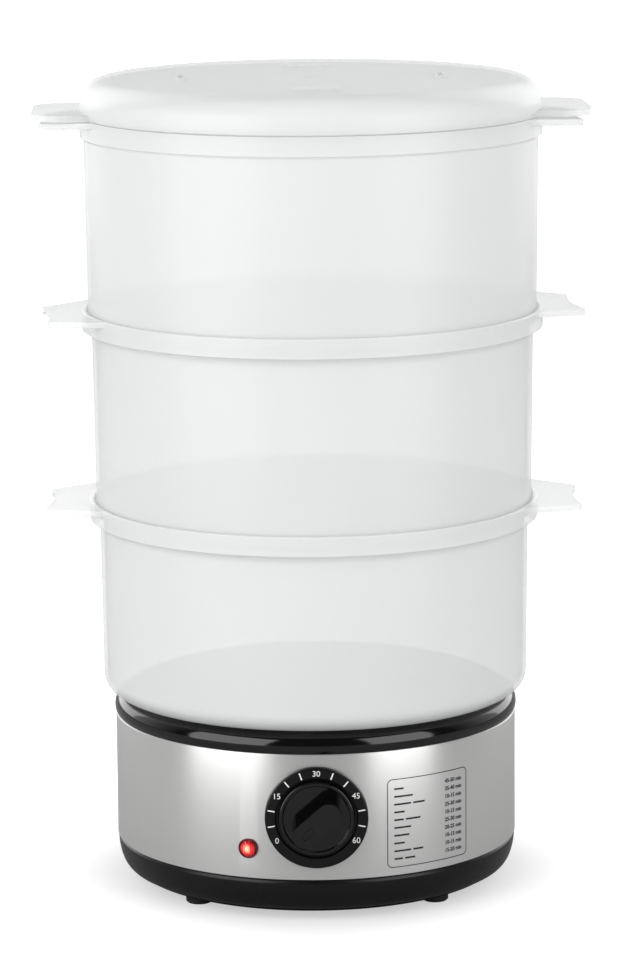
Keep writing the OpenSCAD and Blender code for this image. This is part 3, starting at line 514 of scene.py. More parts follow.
def finish_piece(piece, body, replaced=None, slot=None, material=None):
    """Gives a piece the finish of its slot and its body, and hides the CAD node that it stands for."""
    slot = slot or slot_of_node[replaced]
    piece.data.materials.clear()
    piece.data.materials.append(material or FINISH_OF_SLOT[slot])
    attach(piece, body)
    if replaced:
        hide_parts(replaced)
    print(piece.name, len(piece.data.polygons), "faces")


print(len(nodes), "CAD nodes have a finish")

# %% [markdown]
# ## The heating base
# The lower shell keeps the CAD's shape: its floor has air slots, screw seats and the cord's pad, which
# would gain nothing from being drawn again. But the CAD's mesh is loose triangles, so a copy is joined
# into one skin, and shaded smoothly where the faces meet at a small angle.

# %% Lower shell
JOIN_WITHIN = 0.002


def joined_copy(node, angle=30):
    """A copy of a CAD node whose triangles share their corners."""
    shape = bmesh.new()
    shape.from_mesh(nodes[node].data)
    bmesh.ops.remove_doubles(shape, verts=shape.verts, dist=JOIN_WITHIN * MM)
    mesh = bpy.data.meshes.new(node + "_skin")
    shape.to_mesh(mesh)
    shape.free()
    return smooth(new_piece(node + "_skin", mesh), angle)


finish_piece(joined_copy("bottom_housing"), "base", "bottom_housing")

# %% [markdown]
# ### Steel band
# A strip of sheet, 0.6 mm thick, is rolled into a drum, and its ends meet at the back. It is turned as a
# thin ring, so its unwrapped map runs straight round it, and then the dial's neck, the lens and the
# joint are cut out of it.

# %% Steel band
BAND_FOOT = 22.3
BAND_TOP = 84.4
BAND_T = 0.6
BAND_STEPS = 256
SEAM_HALF = 0.2
NECK_R = 16.7
LENS_BODY_R = 4.1
PLAY = 0.1
band = turned("steel_band", rounded([(BAND_R - BAND_T, BAND_FOOT), (BAND_R, BAND_FOOT, 0.15),
                                     (BAND_R, BAND_TOP, 0.3), (BAND_R - BAND_T, BAND_TOP)]), BAND_STEPS)
seam = plate("seam", [(x * SEAM_HALF, BAND_R + y * 5) for x, y in CORNERS], BAND_FOOT - 1, BAND_TOP + 1)
combine(band, "DIFFERENCE", [bar("neck", NECK_R + PLAY, 90, 110, facing_dial),
                             bar("lens_hole", LENS_BODY_R + PLAY, 90, 110, facing_lens), seam])
finish_piece(band, "base", "stainless_band")

# %% [markdown]
# ### Tank and glossy ring
# The water tank, its sloping wall, the ledge for the drip tray and the glossy ring are one moulding. The
# ring is a large bead, and its highlight shows every kink of the section, so the bead is a true arc.
# Four posts under the slope take the housing screws.

# %% Tank and ring
CREST = 95.3
BEAD_AT = (93.0, 87.8)
BEAD_R = 7.5
WELL_R = 91.8
HEATER_HOLE_R = 36.0
SCREW_RING = 84.0
SCREW_ANGLES = (15, 165, 195, 345)
POST_R = 4.6
DRILL_R = 1.75
outside = rounded([(0, 32.0), (64.5, 32.0, 3), (64.5, 70.4, 2), (90.7, 81.8, 1), (90.7, 82.5),
                   (96.9, 82.5, 0.5), (96.9, 76.4, 0.4), (99.1, 76.4, 0.4), (99.1, 84.7),
                   (BAND_R, 84.7, 0.3)])
outside += arc(BEAD_AT, BEAD_R, -12, 90, 28) + [(WELL_R, CREST - 0.4), (0, CREST - 0.4)]
water = rounded([(0, 34.2), (62.3, 34.2, 3), (62.3, 72.6, 4), (88.5, 84.0, 4), (88.5, 90.6, 0.4),
                 (WELL_R, 90.6, 0.4), (WELL_R, CREST - 0.9), (WELL_R - 0.3, CREST + 1), (0, CREST + 1)])
tank = turned("tank_and_ring", outside, BAND_STEPS)
posts = []
drills = []
for angle in SCREW_ANGLES:
    spot = Matrix.Rotation(math.radians(angle), 4, "Z") @ Matrix.Translation((SCREW_RING * MM, 0, 0))
    posts.append(bar("post", POST_R, 14.0, 84.0, spot, 32))
    drills.append(bar("drill", DRILL_R, 13.0, 30.0, spot, 24))
combine(tank, "UNION", posts)
hollow = turned("water", water, BAND_STEPS)
combine(tank, "DIFFERENCE", [hollow, bar("heater_hole", HEATER_HOLE_R, 30, 36)] + drills)
finish_piece(tank, "base", "reservoir")

# %% [markdown]
# ### Dial ring
# The fixed ring round the knob is turned about the dial's own axis and then faced to the front. Its back
# is cut to the curve of the band, so no gap shows from the side, and only its neck passes through. Two
# screws in the recess, hidden by the knob, hold it and the timer together.

# %% Dial ring
DIAL_R = 24.9
DIAL_FACE = BAND_R + 3.0
RECESS_R = 19.8
RECESS_AT = DIAL_FACE - 2.1
NECK_BACK = BAND_R - 3.6
SHAFT_HOLE_R = 4.5
SCREW_SIDE = 11.5
SCREW_R = 2.0
SCREW_HEAD_R = 3.7
dial = turned("dial_ring_face",
              rounded([(SHAFT_HOLE_R, NECK_BACK), (DIAL_R, NECK_BACK), (DIAL_R, DIAL_FACE, 0.9),
                       (RECESS_R, DIAL_FACE, 0.35), (RECESS_R, RECESS_AT, 0.4),
                       (SHAFT_HOLE_R, RECESS_AT, 0.3)]), 128, facing_dial)
behind = bar("behind", BAND_R + 0.05, BAND_FOOT, BAND_TOP, steps=BAND_STEPS)
combine(behind, "DIFFERENCE", [bar("neck", NECK_R, NECK_BACK, 120, facing_dial)])
screws = []
for side in (-1, 1):
    spot = facing_dial @ Matrix.Translation((side * SCREW_SIDE * MM, 0, 0))
    screws.append(bar("screw", SCREW_R, 90, 110, spot, 32))
    screws.append(bar("head", SCREW_HEAD_R, RECESS_AT - 2.6, 110, spot, 32))
combine(dial, "DIFFERENCE", [behind] + screws)
finish_piece(dial, "base", "dial_ring")

# %% [markdown]
# ## Geometry Nodes for what repeats
# Lines of a scale, holes of a floor and vents of a lid repeat by a rule. A tree of nodes lays them out from
# named sizes, so the rule stays in one place. Every tree starts and ends alike: sizes come in, and at the
# end instances become real meshes with a finish. A modifier runs the tree, and its result is then kept as a
# plain mesh. The modifier finds each size by its socket's identifier, because names may be shared.

# %% Starting, ending and running a tree
def new_tree(name, sizes):
    """A Geometry Nodes tree with a mesh coming in and going out, and the named sizes."""
    tree = bpy.data.node_groups.new(name, "GeometryNodeTree")
    tree.interface.new_socket(name="Geometry", in_out="INPUT", socket_type="NodeSocketGeometry")
    for size, kind in sizes.items():
        tree.interface.new_socket(name=size, in_out="INPUT", socket_type=kind)
    tree.interface.new_socket(name="Geometry", in_out="OUTPUT", socket_type="NodeSocketGeometry")
    return tree, add_node(tree, "NodeGroupInput").outputs


def end_tree(tree, geometry, material):
    """Closes a tree: real meshes instead of instances, and the finish."""
    real = add_node(tree, "GeometryNodeRealizeInstances", None, {"Geometry": geometry})
    done = add_node(tree, "GeometryNodeSetMaterial", None,
                    {"Geometry": real.outputs["Geometry"], "Material": material})
    add_node(tree, "NodeGroupOutput", None, {"Geometry": done.outputs["Geometry"]})


def grow(piece, tree, values):
    """Runs a tree on a piece with the given sizes and keeps the resulting mesh."""
    step = piece.modifiers.new(tree.name, "NODES")
    step.node_group = tree
    for socket in tree.interface.items_tree:
        if socket.in_out == "INPUT" and socket.name in values:
            step[socket.identifier] = values[socket.name]
    return take_result(piece)


print("node trees can be started, ended and run")

# %% [markdown]
# ### Lines of the dial
# The lines are white ink, printed on the ring. Ink has almost no thickness, but as a thin raised shape it
# keeps a crisp edge at any zoom. It reaches a little into the surface, so no gap can show under it. The
# lines repeat every 20 degrees, and every third place is left to a number. The tree lays out 13 points on a
# circle, drops every third one, and sets a thin block on each of the others, facing outwards.

# %% Lines of the dial
PRINT_H = 0.06
INK_MIDDLE = 0.4 * PRINT_H
LINE_STEP = 20.0
LINE_PLACES = 13
LINE_INNER, LINE_OUTER, LINE_W = 20.4, 23.8, 0.6
tree, sizes = new_tree("dial_lines", {"Inner Radius": "NodeSocketFloat", "Outer Radius": "NodeSocketFloat",
                                      "Line Width": "NodeSocketFloat", "Line Height": "NodeSocketFloat"})
index = add_node(tree, "GeometryNodeInputIndex").outputs["Index"]
turn = add_node(tree, "ShaderNodeMath", {"operation": "MULTIPLY_ADD"},
                {0: index, 1: math.radians(LINE_STEP), 2: math.radians(90 - 6 * LINE_STEP)})
both_radii = add_node(tree, "ShaderNodeMath", {"operation": "ADD"},
                      {0: sizes["Inner Radius"], 1: sizes["Outer Radius"]})
middle = add_node(tree, "ShaderNodeMath", {"operation": "MULTIPLY"}, {0: both_radii.outputs["Value"], 1: 0.5})
sideways = add_node(tree, "ShaderNodeCombineXYZ", None, {"X": middle.outputs["Value"]})
spot = add_node(tree, "ShaderNodeVectorRotate", {"rotation_type": "Z_AXIS"},
                {"Vector": sideways.outputs["Vector"], "Angle": turn.outputs["Value"]})
spots = add_node(tree, "GeometryNodePoints", None, {"Count": LINE_PLACES, "Position": spot.outputs["Vector"]})
third = add_node(tree, "ShaderNodeMath", {"operation": "MODULO"}, {0: index, 1: 3.0})
at_number = add_node(tree, "FunctionNodeCompare", {"data_type": "FLOAT", "operation": "LESS_THAN"},
                     {0: third.outputs["Value"], 1: 0.5})
kept = add_node(tree, "GeometryNodeDeleteGeometry", {"domain": "POINT"},
                {"Geometry": spots.outputs["Points"], "Selection": at_number.outputs["Result"]})
length = add_node(tree, "ShaderNodeMath", {"operation": "SUBTRACT"},
                  {0: sizes["Outer Radius"], 1: sizes["Inner Radius"]})
size = add_node(tree, "ShaderNodeCombineXYZ", None,
                {"X": length.outputs["Value"], "Y": sizes["Line Width"], "Z": sizes["Line Height"]})
line = add_node(tree, "GeometryNodeMeshCube", None, {"Size": size.outputs["Vector"]})
where = add_node(tree, "GeometryNodeInputPosition").outputs["Position"]
facing = add_node(tree, "FunctionNodeAlignRotationToVector", {"axis": "X"}, {"Vector": where})
lines = add_node(tree, "GeometryNodeInstanceOnPoints", None,
                 {"Points": kept.outputs["Geometry"], "Instance": line.outputs["Mesh"],
                  "Rotation": facing.outputs["Rotation"]})
end_tree(tree, lines.outputs["Instances"], white_print)
dial_lines = new_piece("dial_lines", bpy.data.meshes.new("dial_lines"))
grow(dial_lines, tree, {"Inner Radius": LINE_INNER * MM, "Outer Radius": LINE_OUTER * MM,
                        "Line Width": LINE_W * MM, "Line Height": PRINT_H * MM})
dial_lines.data.transform(facing_dial @ Matrix.Translation((0, 0, (DIAL_FACE + INK_MIDDLE) * MM)))
finish_piece(dial_lines, "base", slot="satin_black", material=white_print)

# %% [markdown]
# ### Numbers of the dial
# The numbers of minutes stand upright all round the dial. Each is a text curve with a little thickness. It
# is made a mesh before it is moved, so its object stays at the origin.

# %% Numbers of the dial
NUMBER_RING = 22.0
NUMBER_H = 2.8
TYPE_SCALE = 1.42  # size of the type over the height of its figures


def typeset(words, height, align, weight=0.0, steps=4):
    """Mesh of a line of type in mm, lying flat at the origin, made bolder by the given weight."""
    text = bpy.data.curves.new("type", "FONT")
    text.body = words
    text.size = height * TYPE_SCALE * MM
    text.align_x = align
    text.align_y = "CENTER"
    text.extrude = PRINT_H / 2 * MM
    text.offset = weight * MM
    text.resolution_u = steps
    word = new_piece("type", text)
    mesh = bpy.data.meshes.new_from_object(word.evaluated_get(bpy.context.evaluated_depsgraph_get()))
    bpy.data.objects.remove(word)
    return mesh


for minutes, around in ((0, -120), (15, -60), (30, 0), (45, 60), (60, 120)):
    mesh = typeset(str(minutes), NUMBER_H, "CENTER")
    turn = math.radians(90 - around)
    mesh.transform(Matrix.Translation((NUMBER_RING * math.cos(turn) * MM, NUMBER_RING * math.sin(turn) * MM,
                                       (DIAL_FACE + INK_MIDDLE) * MM)))
    mesh.transform(facing_dial)
    number = new_piece(f"dial_number_{minutes}", mesh)
    finish_piece(number, "base", slot="satin_black", material=white_print)

# %% [markdown]
# ## Printed time guide
# Right of the dial the band has a printed panel: a thin frame and ten rows, with plain bars in the left
# column and generic minutes set in type in the right one. A screen print follows the sheet, so it is drawn
# flat first, in mm along the band and above the table, and bent round the drum later. Frame and bars are
# ribbons of ink along a path, and the path needs close points, or the ribbon would cut into the curve.

# %% Ribbons of ink
def finely(path, closed, step=1.5):
    """The same path with points close enough together to bend smoothly."""
    points = []
    for i, start in enumerate(path):
        if i + 1 == len(path) and not closed:
            return points + [start]
        end = path[(i + 1) % len(path)]
        count = max(1, math.ceil((Vector(end) - Vector(start)).length / step))
        points += [tuple(Vector(start).lerp(Vector(end), k / count)) for k in range(count)]
    return points


def ribbon(shape, path, width, closed):
    """A printed line of the given width along a flat path in mm."""
    sections = []
    for i, point in enumerate(path):
        before = Vector(path[i - 1]) if closed or i else Vector(point)
        after = Vector(path[(i + 1) % len(path)]) if closed or i + 1 < len(path) else Vector(point)
        way = (after - before).normalized()
        side = Vector((-way.y, way.x)) * width / 2
        sections.append([shape.verts.new((*((Vector(point) + side * s) * MM), h * PRINT_H * MM))
                         for s, h in ((1, -0.1), (1, 0.9), (-1, 0.9), (-1, -0.1))])
    pairs = list(zip(sections, sections[1:] + sections[:1]))
    for one, two in pairs if closed else pairs[:-1]:
        for k in range(4):
            shape.faces.new((one[k], two[k], two[(k + 1) % 4], one[(k + 1) % 4]))
    if not closed:
        shape.faces.new(sections[0])
        shape.faces.new(sections[-1][::-1])


print("a bar of 10 mm gets", len(finely([(0, 0), (10, 0)], False)), "points")

# %% [markdown]
# The rows are a short table: the lengths of the bars, and the minutes beside them. The type is made a
# little bolder than the font, because thin strokes vanish at this size.

# %% Flat print
GUIDE_LEFT, GUIDE_RIGHT = 34.9, 81.7
GUIDE_LOW, GUIDE_HIGH = 26.3, 70.0
GUIDE_LINE = 0.42
GUIDE_CORNER = 2.5
ROW_TOP = 65.2
ROW_STEP = 3.87
BAR_START = 38.4
BAR_H = 0.9
BAR_GAP = 1.2
MINUTES_END = 78.3
MINUTES_H = 1.9
MINUTES_WEIGHT = 0.09
ROWS = (((5.0,), "45-50"), ((10.0,), "35-40"), ((9.0, 6.5), "10-15"), ((5.5,), "25-30"),
        ((5.0, 8.0), "10-15"), ((9.0,), "25-30"), ((8.0,), "20-25"), ((5.5,), "10-15"),
        ((9.0, 5.5), "10-15"), ((4.5, 5.5), "15-20"))
flat_print = bmesh.new()
frame_path = rounded([(GUIDE_LEFT, GUIDE_LOW, GUIDE_CORNER), (GUIDE_RIGHT, GUIDE_LOW, GUIDE_CORNER),
                      (GUIDE_RIGHT, GUIDE_HIGH, GUIDE_CORNER), (GUIDE_LEFT, GUIDE_HIGH, GUIDE_CORNER)], 8)
ribbon(flat_print, finely(frame_path, True), GUIDE_LINE, True)
for row, (bars, minutes) in enumerate(ROWS):
    height = ROW_TOP - row * ROW_STEP
    start = BAR_START
    for length in bars:
        ribbon(flat_print, finely([(start, height), (start + length, height)], False), BAR_H, False)
        start += length + BAR_GAP
    mesh = typeset(minutes + " min", MINUTES_H, "RIGHT", MINUTES_WEIGHT, 3)
    mesh.transform(Matrix.Translation((MINUTES_END * MM, height * MM, INK_MIDDLE * MM)))
    flat_print.from_mesh(mesh)
    bpy.data.meshes.remove(mesh)
bmesh.ops.recalc_face_normals(flat_print, faces=flat_print.faces)
mesh = bpy.data.meshes.new("time_guide")
flat_print.to_mesh(mesh)
flat_print.free()
guide = new_piece("time_guide", mesh)
print("flat print:", len(mesh.polygons), "faces in", len(ROWS), "rows")

# %% [markdown]
# Bending is one rule for every point: the distance along the band becomes an angle round the axis, and the
# thickness of the ink is added to the radius. Geometry Nodes apply it to all points at once.

# %% Bend the print round the band
tree, sizes = new_tree("bend_round_drum", {"Drum Radius": "NodeSocketFloat"})
where = add_node(tree, "GeometryNodeInputPosition").outputs["Position"]
flat = add_node(tree, "ShaderNodeSeparateXYZ", None, {"Vector": where})
around = add_node(tree, "ShaderNodeMath", {"operation": "DIVIDE"},
                  {0: flat.outputs["X"], 1: sizes["Drum Radius"]})
forward = add_node(tree, "ShaderNodeMath", {"operation": "ADD"},
                   {0: flat.outputs["Z"], 1: sizes["Drum Radius"]})
towards_us = add_node(tree, "ShaderNodeMath", {"operation": "MULTIPLY"},
                      {0: forward.outputs["Value"], 1: -1.0})
in_front = add_node(tree, "ShaderNodeCombineXYZ", None,
                    {"Y": towards_us.outputs["Value"], "Z": flat.outputs["Y"]})
bent = add_node(tree, "ShaderNodeVectorRotate", {"rotation_type": "Z_AXIS"},
                {"Vector": in_front.outputs["Vector"], "Angle": around.outputs["Value"]})
moved = add_node(tree, "GeometryNodeSetPosition", None,
                 {"Geometry": sizes["Geometry"], "Position": bent.outputs["Vector"]})
end_tree(tree, moved.outputs["Geometry"], black_print)
grow(guide, tree, {"Drum Radius": BAND_R * MM})
finish_piece(guide, "base", slot="satin_black", material=black_print)

# %% [markdown]
# ## Knob
# The knob is one moulding: a disc with a slightly hollow face, and a grip that is easy to turn with wet
# fingers. The disc is turned, the grip is a bar with round ends and soft edges, and a small frame sunk
# in one end of the grip is the pointer. The bore behind has a flat, as the shaft does, so the knob can't
# slip on it. The whole knob is drawn with its pointer along +X, then turned to the zero mark and faced to
# the front, so it rides on its own body and spins about the shaft.

# %% Knob
POINTER_AT = -131.0
KNOB_R = 18.15
KNOB_BACK = 101.3
KNOB_FACE = 104.3
GRIP_END = BAND_R + 17.5
GRIP_L = 27.0
GRIP_W = 11.6
MARK_X = GRIP_L / 2 - 8
SHAFT_R = 3.02
SHAFT_FLAT = 1.67
facing_knob = facing_dial @ Matrix.Rotation(math.radians(90 - POINTER_AT), 4, "Z")
facing_shaft = Matrix.Rotation(math.radians(POINTER_AT - 90), 4, "Z")
knob = turned("knob", rounded([(0, KNOB_BACK), (KNOB_R, KNOB_BACK, 0.3), (KNOB_R, KNOB_FACE, 0.7),
                               (KNOB_R - 1.6, KNOB_FACE, 1.0), (KNOB_R - 2.2, KNOB_FACE - 0.35, 1.0),
                               (0, KNOB_FACE - 0.35)]), 128)
combine(knob, "UNION", [plate("grip", stadium(GRIP_L, GRIP_W, 24), KNOB_FACE - 2, GRIP_END, 1.0)])
mark = plate("mark", rounded([(x * 3.6 + MARK_X, y * 1.7, 0.8) for x, y in CORNERS]),
             GRIP_END - 0.4, GRIP_END + 1)
core = plate("core", rounded([(x * 3.1 + MARK_X, y * 1.2, 0.5) for x, y in CORNERS]),
             GRIP_END - 1, GRIP_END + 2)
combine(mark, "DIFFERENCE", [core])
bore = bar("bore", SHAFT_R, KNOB_BACK - 1, 113.8, facing_shaft)
flat = plate("flat", [(-5, SHAFT_FLAT), (5, SHAFT_FLAT), (5, 5), (-5, 5)], KNOB_BACK - 2, 120,
             place=facing_shaft)
combine(bore, "DIFFERENCE", [flat])
combine(knob, "DIFFERENCE", [mark, bore])
even_normals(knob)
knob.data.transform(facing_knob)
finish_piece(knob, "knob", "timer_knob")

# %% [markdown]
# ## Pilot lens
# The jewel is pressed into the band from outside. It has a rim, a groove inside the rim that stays dark,
# and a low dome with facets, which spread the light of the small lamp behind it.

# %% Pilot lens
LENS_R = 4.9
FACETS = 24
lens_section = rounded([(3.2, 93.5), (LENS_BODY_R, 93.5), (LENS_BODY_R, BAND_R + 0.05),
                        (LENS_R, BAND_R + 0.05), (LENS_R, LENS_FACE, 0.5), (4.35, LENS_FACE, 0.1),
                        (4.1, LENS_FACE - 0.35, 0.1), (3.7, LENS_FACE + 0.2, 0.2), (2.4, LENS_FACE + 1.1),
                        (1.0, LENS_FACE + LENS_DOME - 0.1), (0, LENS_FACE + LENS_DOME), (0, 100.3),
                        (3.2, 100.3)])
lens = turned("pilot_jewel", lens_section, FACETS * 2, facing_lens)
finish_piece(smooth(lens, 14), "base", "pilot_lens")

# %% [markdown]
# ## Inside the tank
# The sleeve stands over the heater and keeps a little water close to it, so steam starts within a minute.
# Four gates in its foot let more water in. The drip tray hangs on the ledge and catches the juices, with a
# chimney in its middle for the steam and a bar across the chimney to lift it by.

# %% Sleeve and drip tray
SLEEVE_FOOT = 34.5
GATE_H = 5.0
GATE_ANGLES = (45, 135, 225, 315)
TRAY_FLOOR, TRAY_RIM = 81.7, 90.9
TRAY_T = 1.6
sleeve = turned("sleeve", rounded([(48.0, SLEEVE_FOOT, 0.4), (44.0, 72.5, 0.6), (42.2, 72.5, 0.6),
                                   (46.2, SLEEVE_FOOT, 0.4)]))
gates = [plate("gate", [(40, -6), (55, -6), (55, 6), (40, 6)], SLEEVE_FOOT - 1, SLEEVE_FOOT + GATE_H,
               place=Matrix.Rotation(math.radians(a), 4, "Z")) for a in GATE_ANGLES]
combine(sleeve, "DIFFERENCE", gates)
finish_piece(sleeve, "sleeve", "steam_sleeve")

tray = turned("juice_tray",
              rounded([(27, TRAY_FLOOR, 0.5), (72.5, TRAY_FLOOR, 2), (85.5, TRAY_RIM, 2),
                       (91.3, TRAY_RIM, 0.3), (91.3, 92.4, 0.5), (84.5, 92.4, 2),
                       (71.5, TRAY_FLOOR + TRAY_T, 2), (28.6, TRAY_FLOOR + TRAY_T, 1.5),
                       (28.6, TRAY_RIM, 0.6), (27, TRAY_RIM, 0.6)]))
grip_bar = plate("grip_bar", [(x * 27.5, y * 4) for x, y in CORNERS], TRAY_FLOOR, TRAY_FLOOR + TRAY_T, 0.4)
combine(tray, "UNION", [grip_bar])
finish_piece(tray, "tray", "drip_tray")

# %% [markdown]
# ## Tiers
# The three tiers are one design in three sizes, each a little wider than the one below, so they nest for
# storage. Their floors are perforated: one hole in the middle, and rings of 6, 12, 18 and more round it.
# Geometry Nodes place the holes with a formula, so their number and spacing stay adjustable, and cut them
# out with one boolean. From a hole's number a square root gives its ring, the holes of the inner rings are
# taken off, and what is left is its place along the ring. The sums stand in a table, one line each.

# %% Perforated floor
HOLE_R = 2.4
HOLE_PITCH = 12.2
HOLE_RINGS = 7
HOLES = 1 + 3 * HOLE_RINGS * (HOLE_RINGS + 1)
SUMS = (("under_root", "MULTIPLY_ADD", "number", 4 / 3, 1 / 3),
        ("root", "SQRT", "under_root"),
        ("near_ring", "MULTIPLY_ADD", "root", 0.5, -0.5),
        ("ring", "CEIL", "near_ring"),
        ("ring_before", "SUBTRACT", "ring", 1.0),
        ("both_rings", "MULTIPLY", "ring", "ring_before"),
        ("first", "MULTIPLY_ADD", "both_rings", 3.0, 1.0),
        ("along", "SUBTRACT", "number", "first"),
        ("share", "DIVIDE", "along", "ring"),
        ("turn", "MULTIPLY", "share", math.pi / 3),
        ("radius", "MULTIPLY", "ring", "pitch"))
floor_tree, sizes = new_tree("floor_holes", {"Holes": "NodeSocketInt", "Hole Radius": "NodeSocketFloat",
                                             "Pitch": "NodeSocketFloat", "Floor Height": "NodeSocketFloat"})
known = {"number": add_node(floor_tree, "GeometryNodeInputIndex").outputs["Index"], "pitch": sizes["Pitch"]}
for name, operation, *terms in SUMS:
    values = {i: known.get(term, term) for i, term in enumerate(terms)}
    known[name] = add_node(floor_tree, "ShaderNodeMath", {"operation": operation}, values).outputs["Value"]
sideways = add_node(floor_tree, "ShaderNodeCombineXYZ", None,
                    {"X": known["radius"], "Z": sizes["Floor Height"]})
spot = add_node(floor_tree, "ShaderNodeVectorRotate", {"rotation_type": "Z_AXIS"},
                {"Vector": sideways.outputs["Vector"], "Angle": known["turn"]})
spots = add_node(floor_tree, "GeometryNodePoints", None,
                 {"Count": sizes["Holes"], "Position": spot.outputs["Vector"]})
drill = add_node(floor_tree, "GeometryNodeMeshCylinder", None,
                 {"Vertices": 20, "Radius": sizes["Hole Radius"], "Depth": 8 * MM})
drills = add_node(floor_tree, "GeometryNodeInstanceOnPoints", None,
                  {"Points": spots.outputs["Points"], "Instance": drill.outputs["Mesh"]})
cut = add_node(floor_tree, "GeometryNodeMeshBoolean", {"operation": "DIFFERENCE", "solver": "MANIFOLD"},
               {"Mesh 1": sizes["Geometry"], "Mesh 2": drills.outputs["Instances"]})
end_tree(floor_tree, cut.outputs["Mesh"], milky_pp)
print("floor holes:", HOLES)

# %% [markdown]
# ### Handles
# The handles are drawn on the plan of the real ones: wide at the rim, narrower at the tip, with a hollow
# end that the fingers find. Each droops a little from the rim, is trimmed where it would enter the tier,
# and is then joined to it.

# %% Handles
HANDLE_REACH = 132.0
HANDLE_T = 3.0
HANDLE_TIP = 26.5
HANDLE_ROOT = 49.0
HANDLE_DROOP = 3.0
HANDLE_EDGE = 0.7
NOTCH_HALF = 24.0
NOTCH_D = 3.0


def handle(rim_r, top):
    """One drooping handle along +X, from a rim of the given radius."""
    notch_r = (NOTCH_HALF ** 2 + NOTCH_D ** 2) / (2 * NOTCH_D)
    sweep = math.degrees(math.asin(NOTCH_HALF / notch_r))
    hollow = arc((HANDLE_REACH - NOTCH_D + notch_r, 0), notch_r, 180 + sweep, 180 - sweep, 16)
    plan = rounded([(rim_r - 20, -HANDLE_ROOT), (HANDLE_REACH, -HANDLE_TIP, 3)] + hollow
                   + [(HANDLE_REACH, HANDLE_TIP, 3), (rim_r - 20, HANDLE_ROOT)], 6)
    pivot = rim_r - 9
    place = (Matrix.Translation((pivot * MM, 0, top * MM))
             @ Matrix.Rotation(math.radians(HANDLE_DROOP), 4, "Y")
             @ Matrix.Translation((-pivot * MM, 0, -HANDLE_T * MM)))
    return plate("handle", plan, 0, HANDLE_T, HANDLE_EDGE, place)


def both_sides(make, trim_r, low, high):
    """Two opposite copies of a handle, trimmed to what lies outside a radius."""
    sides = []
    for side in (0, 180):
        piece = make()
        piece.data.transform(Matrix.Rotation(math.radians(side), 4, "Z"))
        sides.append(combine(piece, "DIFFERENCE", [bar("trim", trim_r, low, high, steps=128)]))
    return sides


print("handles reach", HANDLE_REACH, "mm from the axis")

# %% [markdown]
# ### Section of a tier
# The section has the floor, the rounded foot, the slightly leaning wall and a wide rim that the next tier
# stands in, with a hollow flare under it. Only the lowest tier has a collar under its floor, which keeps it
# in the middle of the base. The tiers' feet and rims are read from the frame, so each stands where its CAD
# node stands, and the middle one is turned a little, as the pieces of a real stack are.

# %% Tiers
WALL_T = 1.8
WALL_LEAN = 0.75
FOOT_R = 105.6
TIER_GROWS = 2.45
NEST_PLAY = 1.0
NEST_D = 6.0
RIM_H = 9.4
RIM_T = 2.1
COLLAR_R = 91.2
COLLAR_D = 2.6
TIER_TURN = {1: 0.0, 2: 6.5, 3: 0.0}


def tier_section(number, foot_z, top_z):
    """Closed section of one tier, from the middle of its floor round the wall and back."""
    foot = FOOT_R + (number - 1) * TIER_GROWS
    top = foot + WALL_LEAN
    inner = foot - WALL_T
    nest_r = foot + TIER_GROWS + NEST_PLAY if number < 3 else top - 0.25
    rim = nest_r + RIM_T
    flare = rim - top
    rim_z = top_z - RIM_H
    ledge_z = top_z - NEST_D
    lowest = number == 1
    floor_z = foot_z + (1.6 if lowest else 0.5)
    corner = 9.0 if lowest else 0.8
    base = [(0, floor_z), (inner, floor_z), (inner, foot_z, 0.3)]
    if lowest:
        base = [(0, floor_z), (COLLAR_R - WALL_T, floor_z), (COLLAR_R - WALL_T, foot_z - COLLAR_D, 0.4),
                (COLLAR_R, foot_z - COLLAR_D, 0.6), (COLLAR_R, foot_z)]
    section = base + arc((foot - corner, foot_z + corner), corner, -90, 0, 12)
    section += arc((top + flare, rim_z - flare), flare, 180, 90, 12)
    section += [(rim, top_z, 0.7), (nest_r, top_z, 0.5), (nest_r, ledge_z, 0.4),
                (top - WALL_T + 1, ledge_z, 0.5), (top - WALL_T, ledge_z - 1, 0.5),
                (inner, floor_z + WALL_T, 5), (0, floor_z + WALL_T)]
    return rounded(section, 6), rim, floor_z


for number in (1, 2, 3):
    node = f"basket_{number}"
    low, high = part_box(node)
    foot_z = low.z / MM + (COLLAR_D if number == 1 else 0.0)
    top_z = high.z / MM
    section, rim_r, floor_z = tier_section(number, foot_z, top_z)
    tier = turned(f"tier_{number}", section, BAND_STEPS)
    combine(tier, "UNION", both_sides(lambda: handle(rim_r, top_z), rim_r - 1, top_z - 30, top_z + 30))
    grow(tier, floor_tree, {"Holes": HOLES, "Hole Radius": HOLE_R * MM, "Pitch": HOLE_PITCH * MM,
                            "Floor Height": floor_z * MM})
    tier.data.transform(Matrix.Rotation(math.radians(TIER_TURN[number]), 4, "Z"))
    finish_piece(even_normals(smooth(tier)), f"tier_{number}", node)
    print(node, "foot", round(foot_z, 1), "top", round(top_z, 1), "rim radius", round(rim_r, 2))

# %% [markdown]
# ## Lid
# The lid is the same milky plastic. Its edge rolls over in a wide shoulder, a low ridge runs round the
# panel, which rises a little towards the middle, and a lip under the edge keeps it on the top tier. Its two
# handles are short and flat. A small round mark in the middle is where the plastic entered the mould.

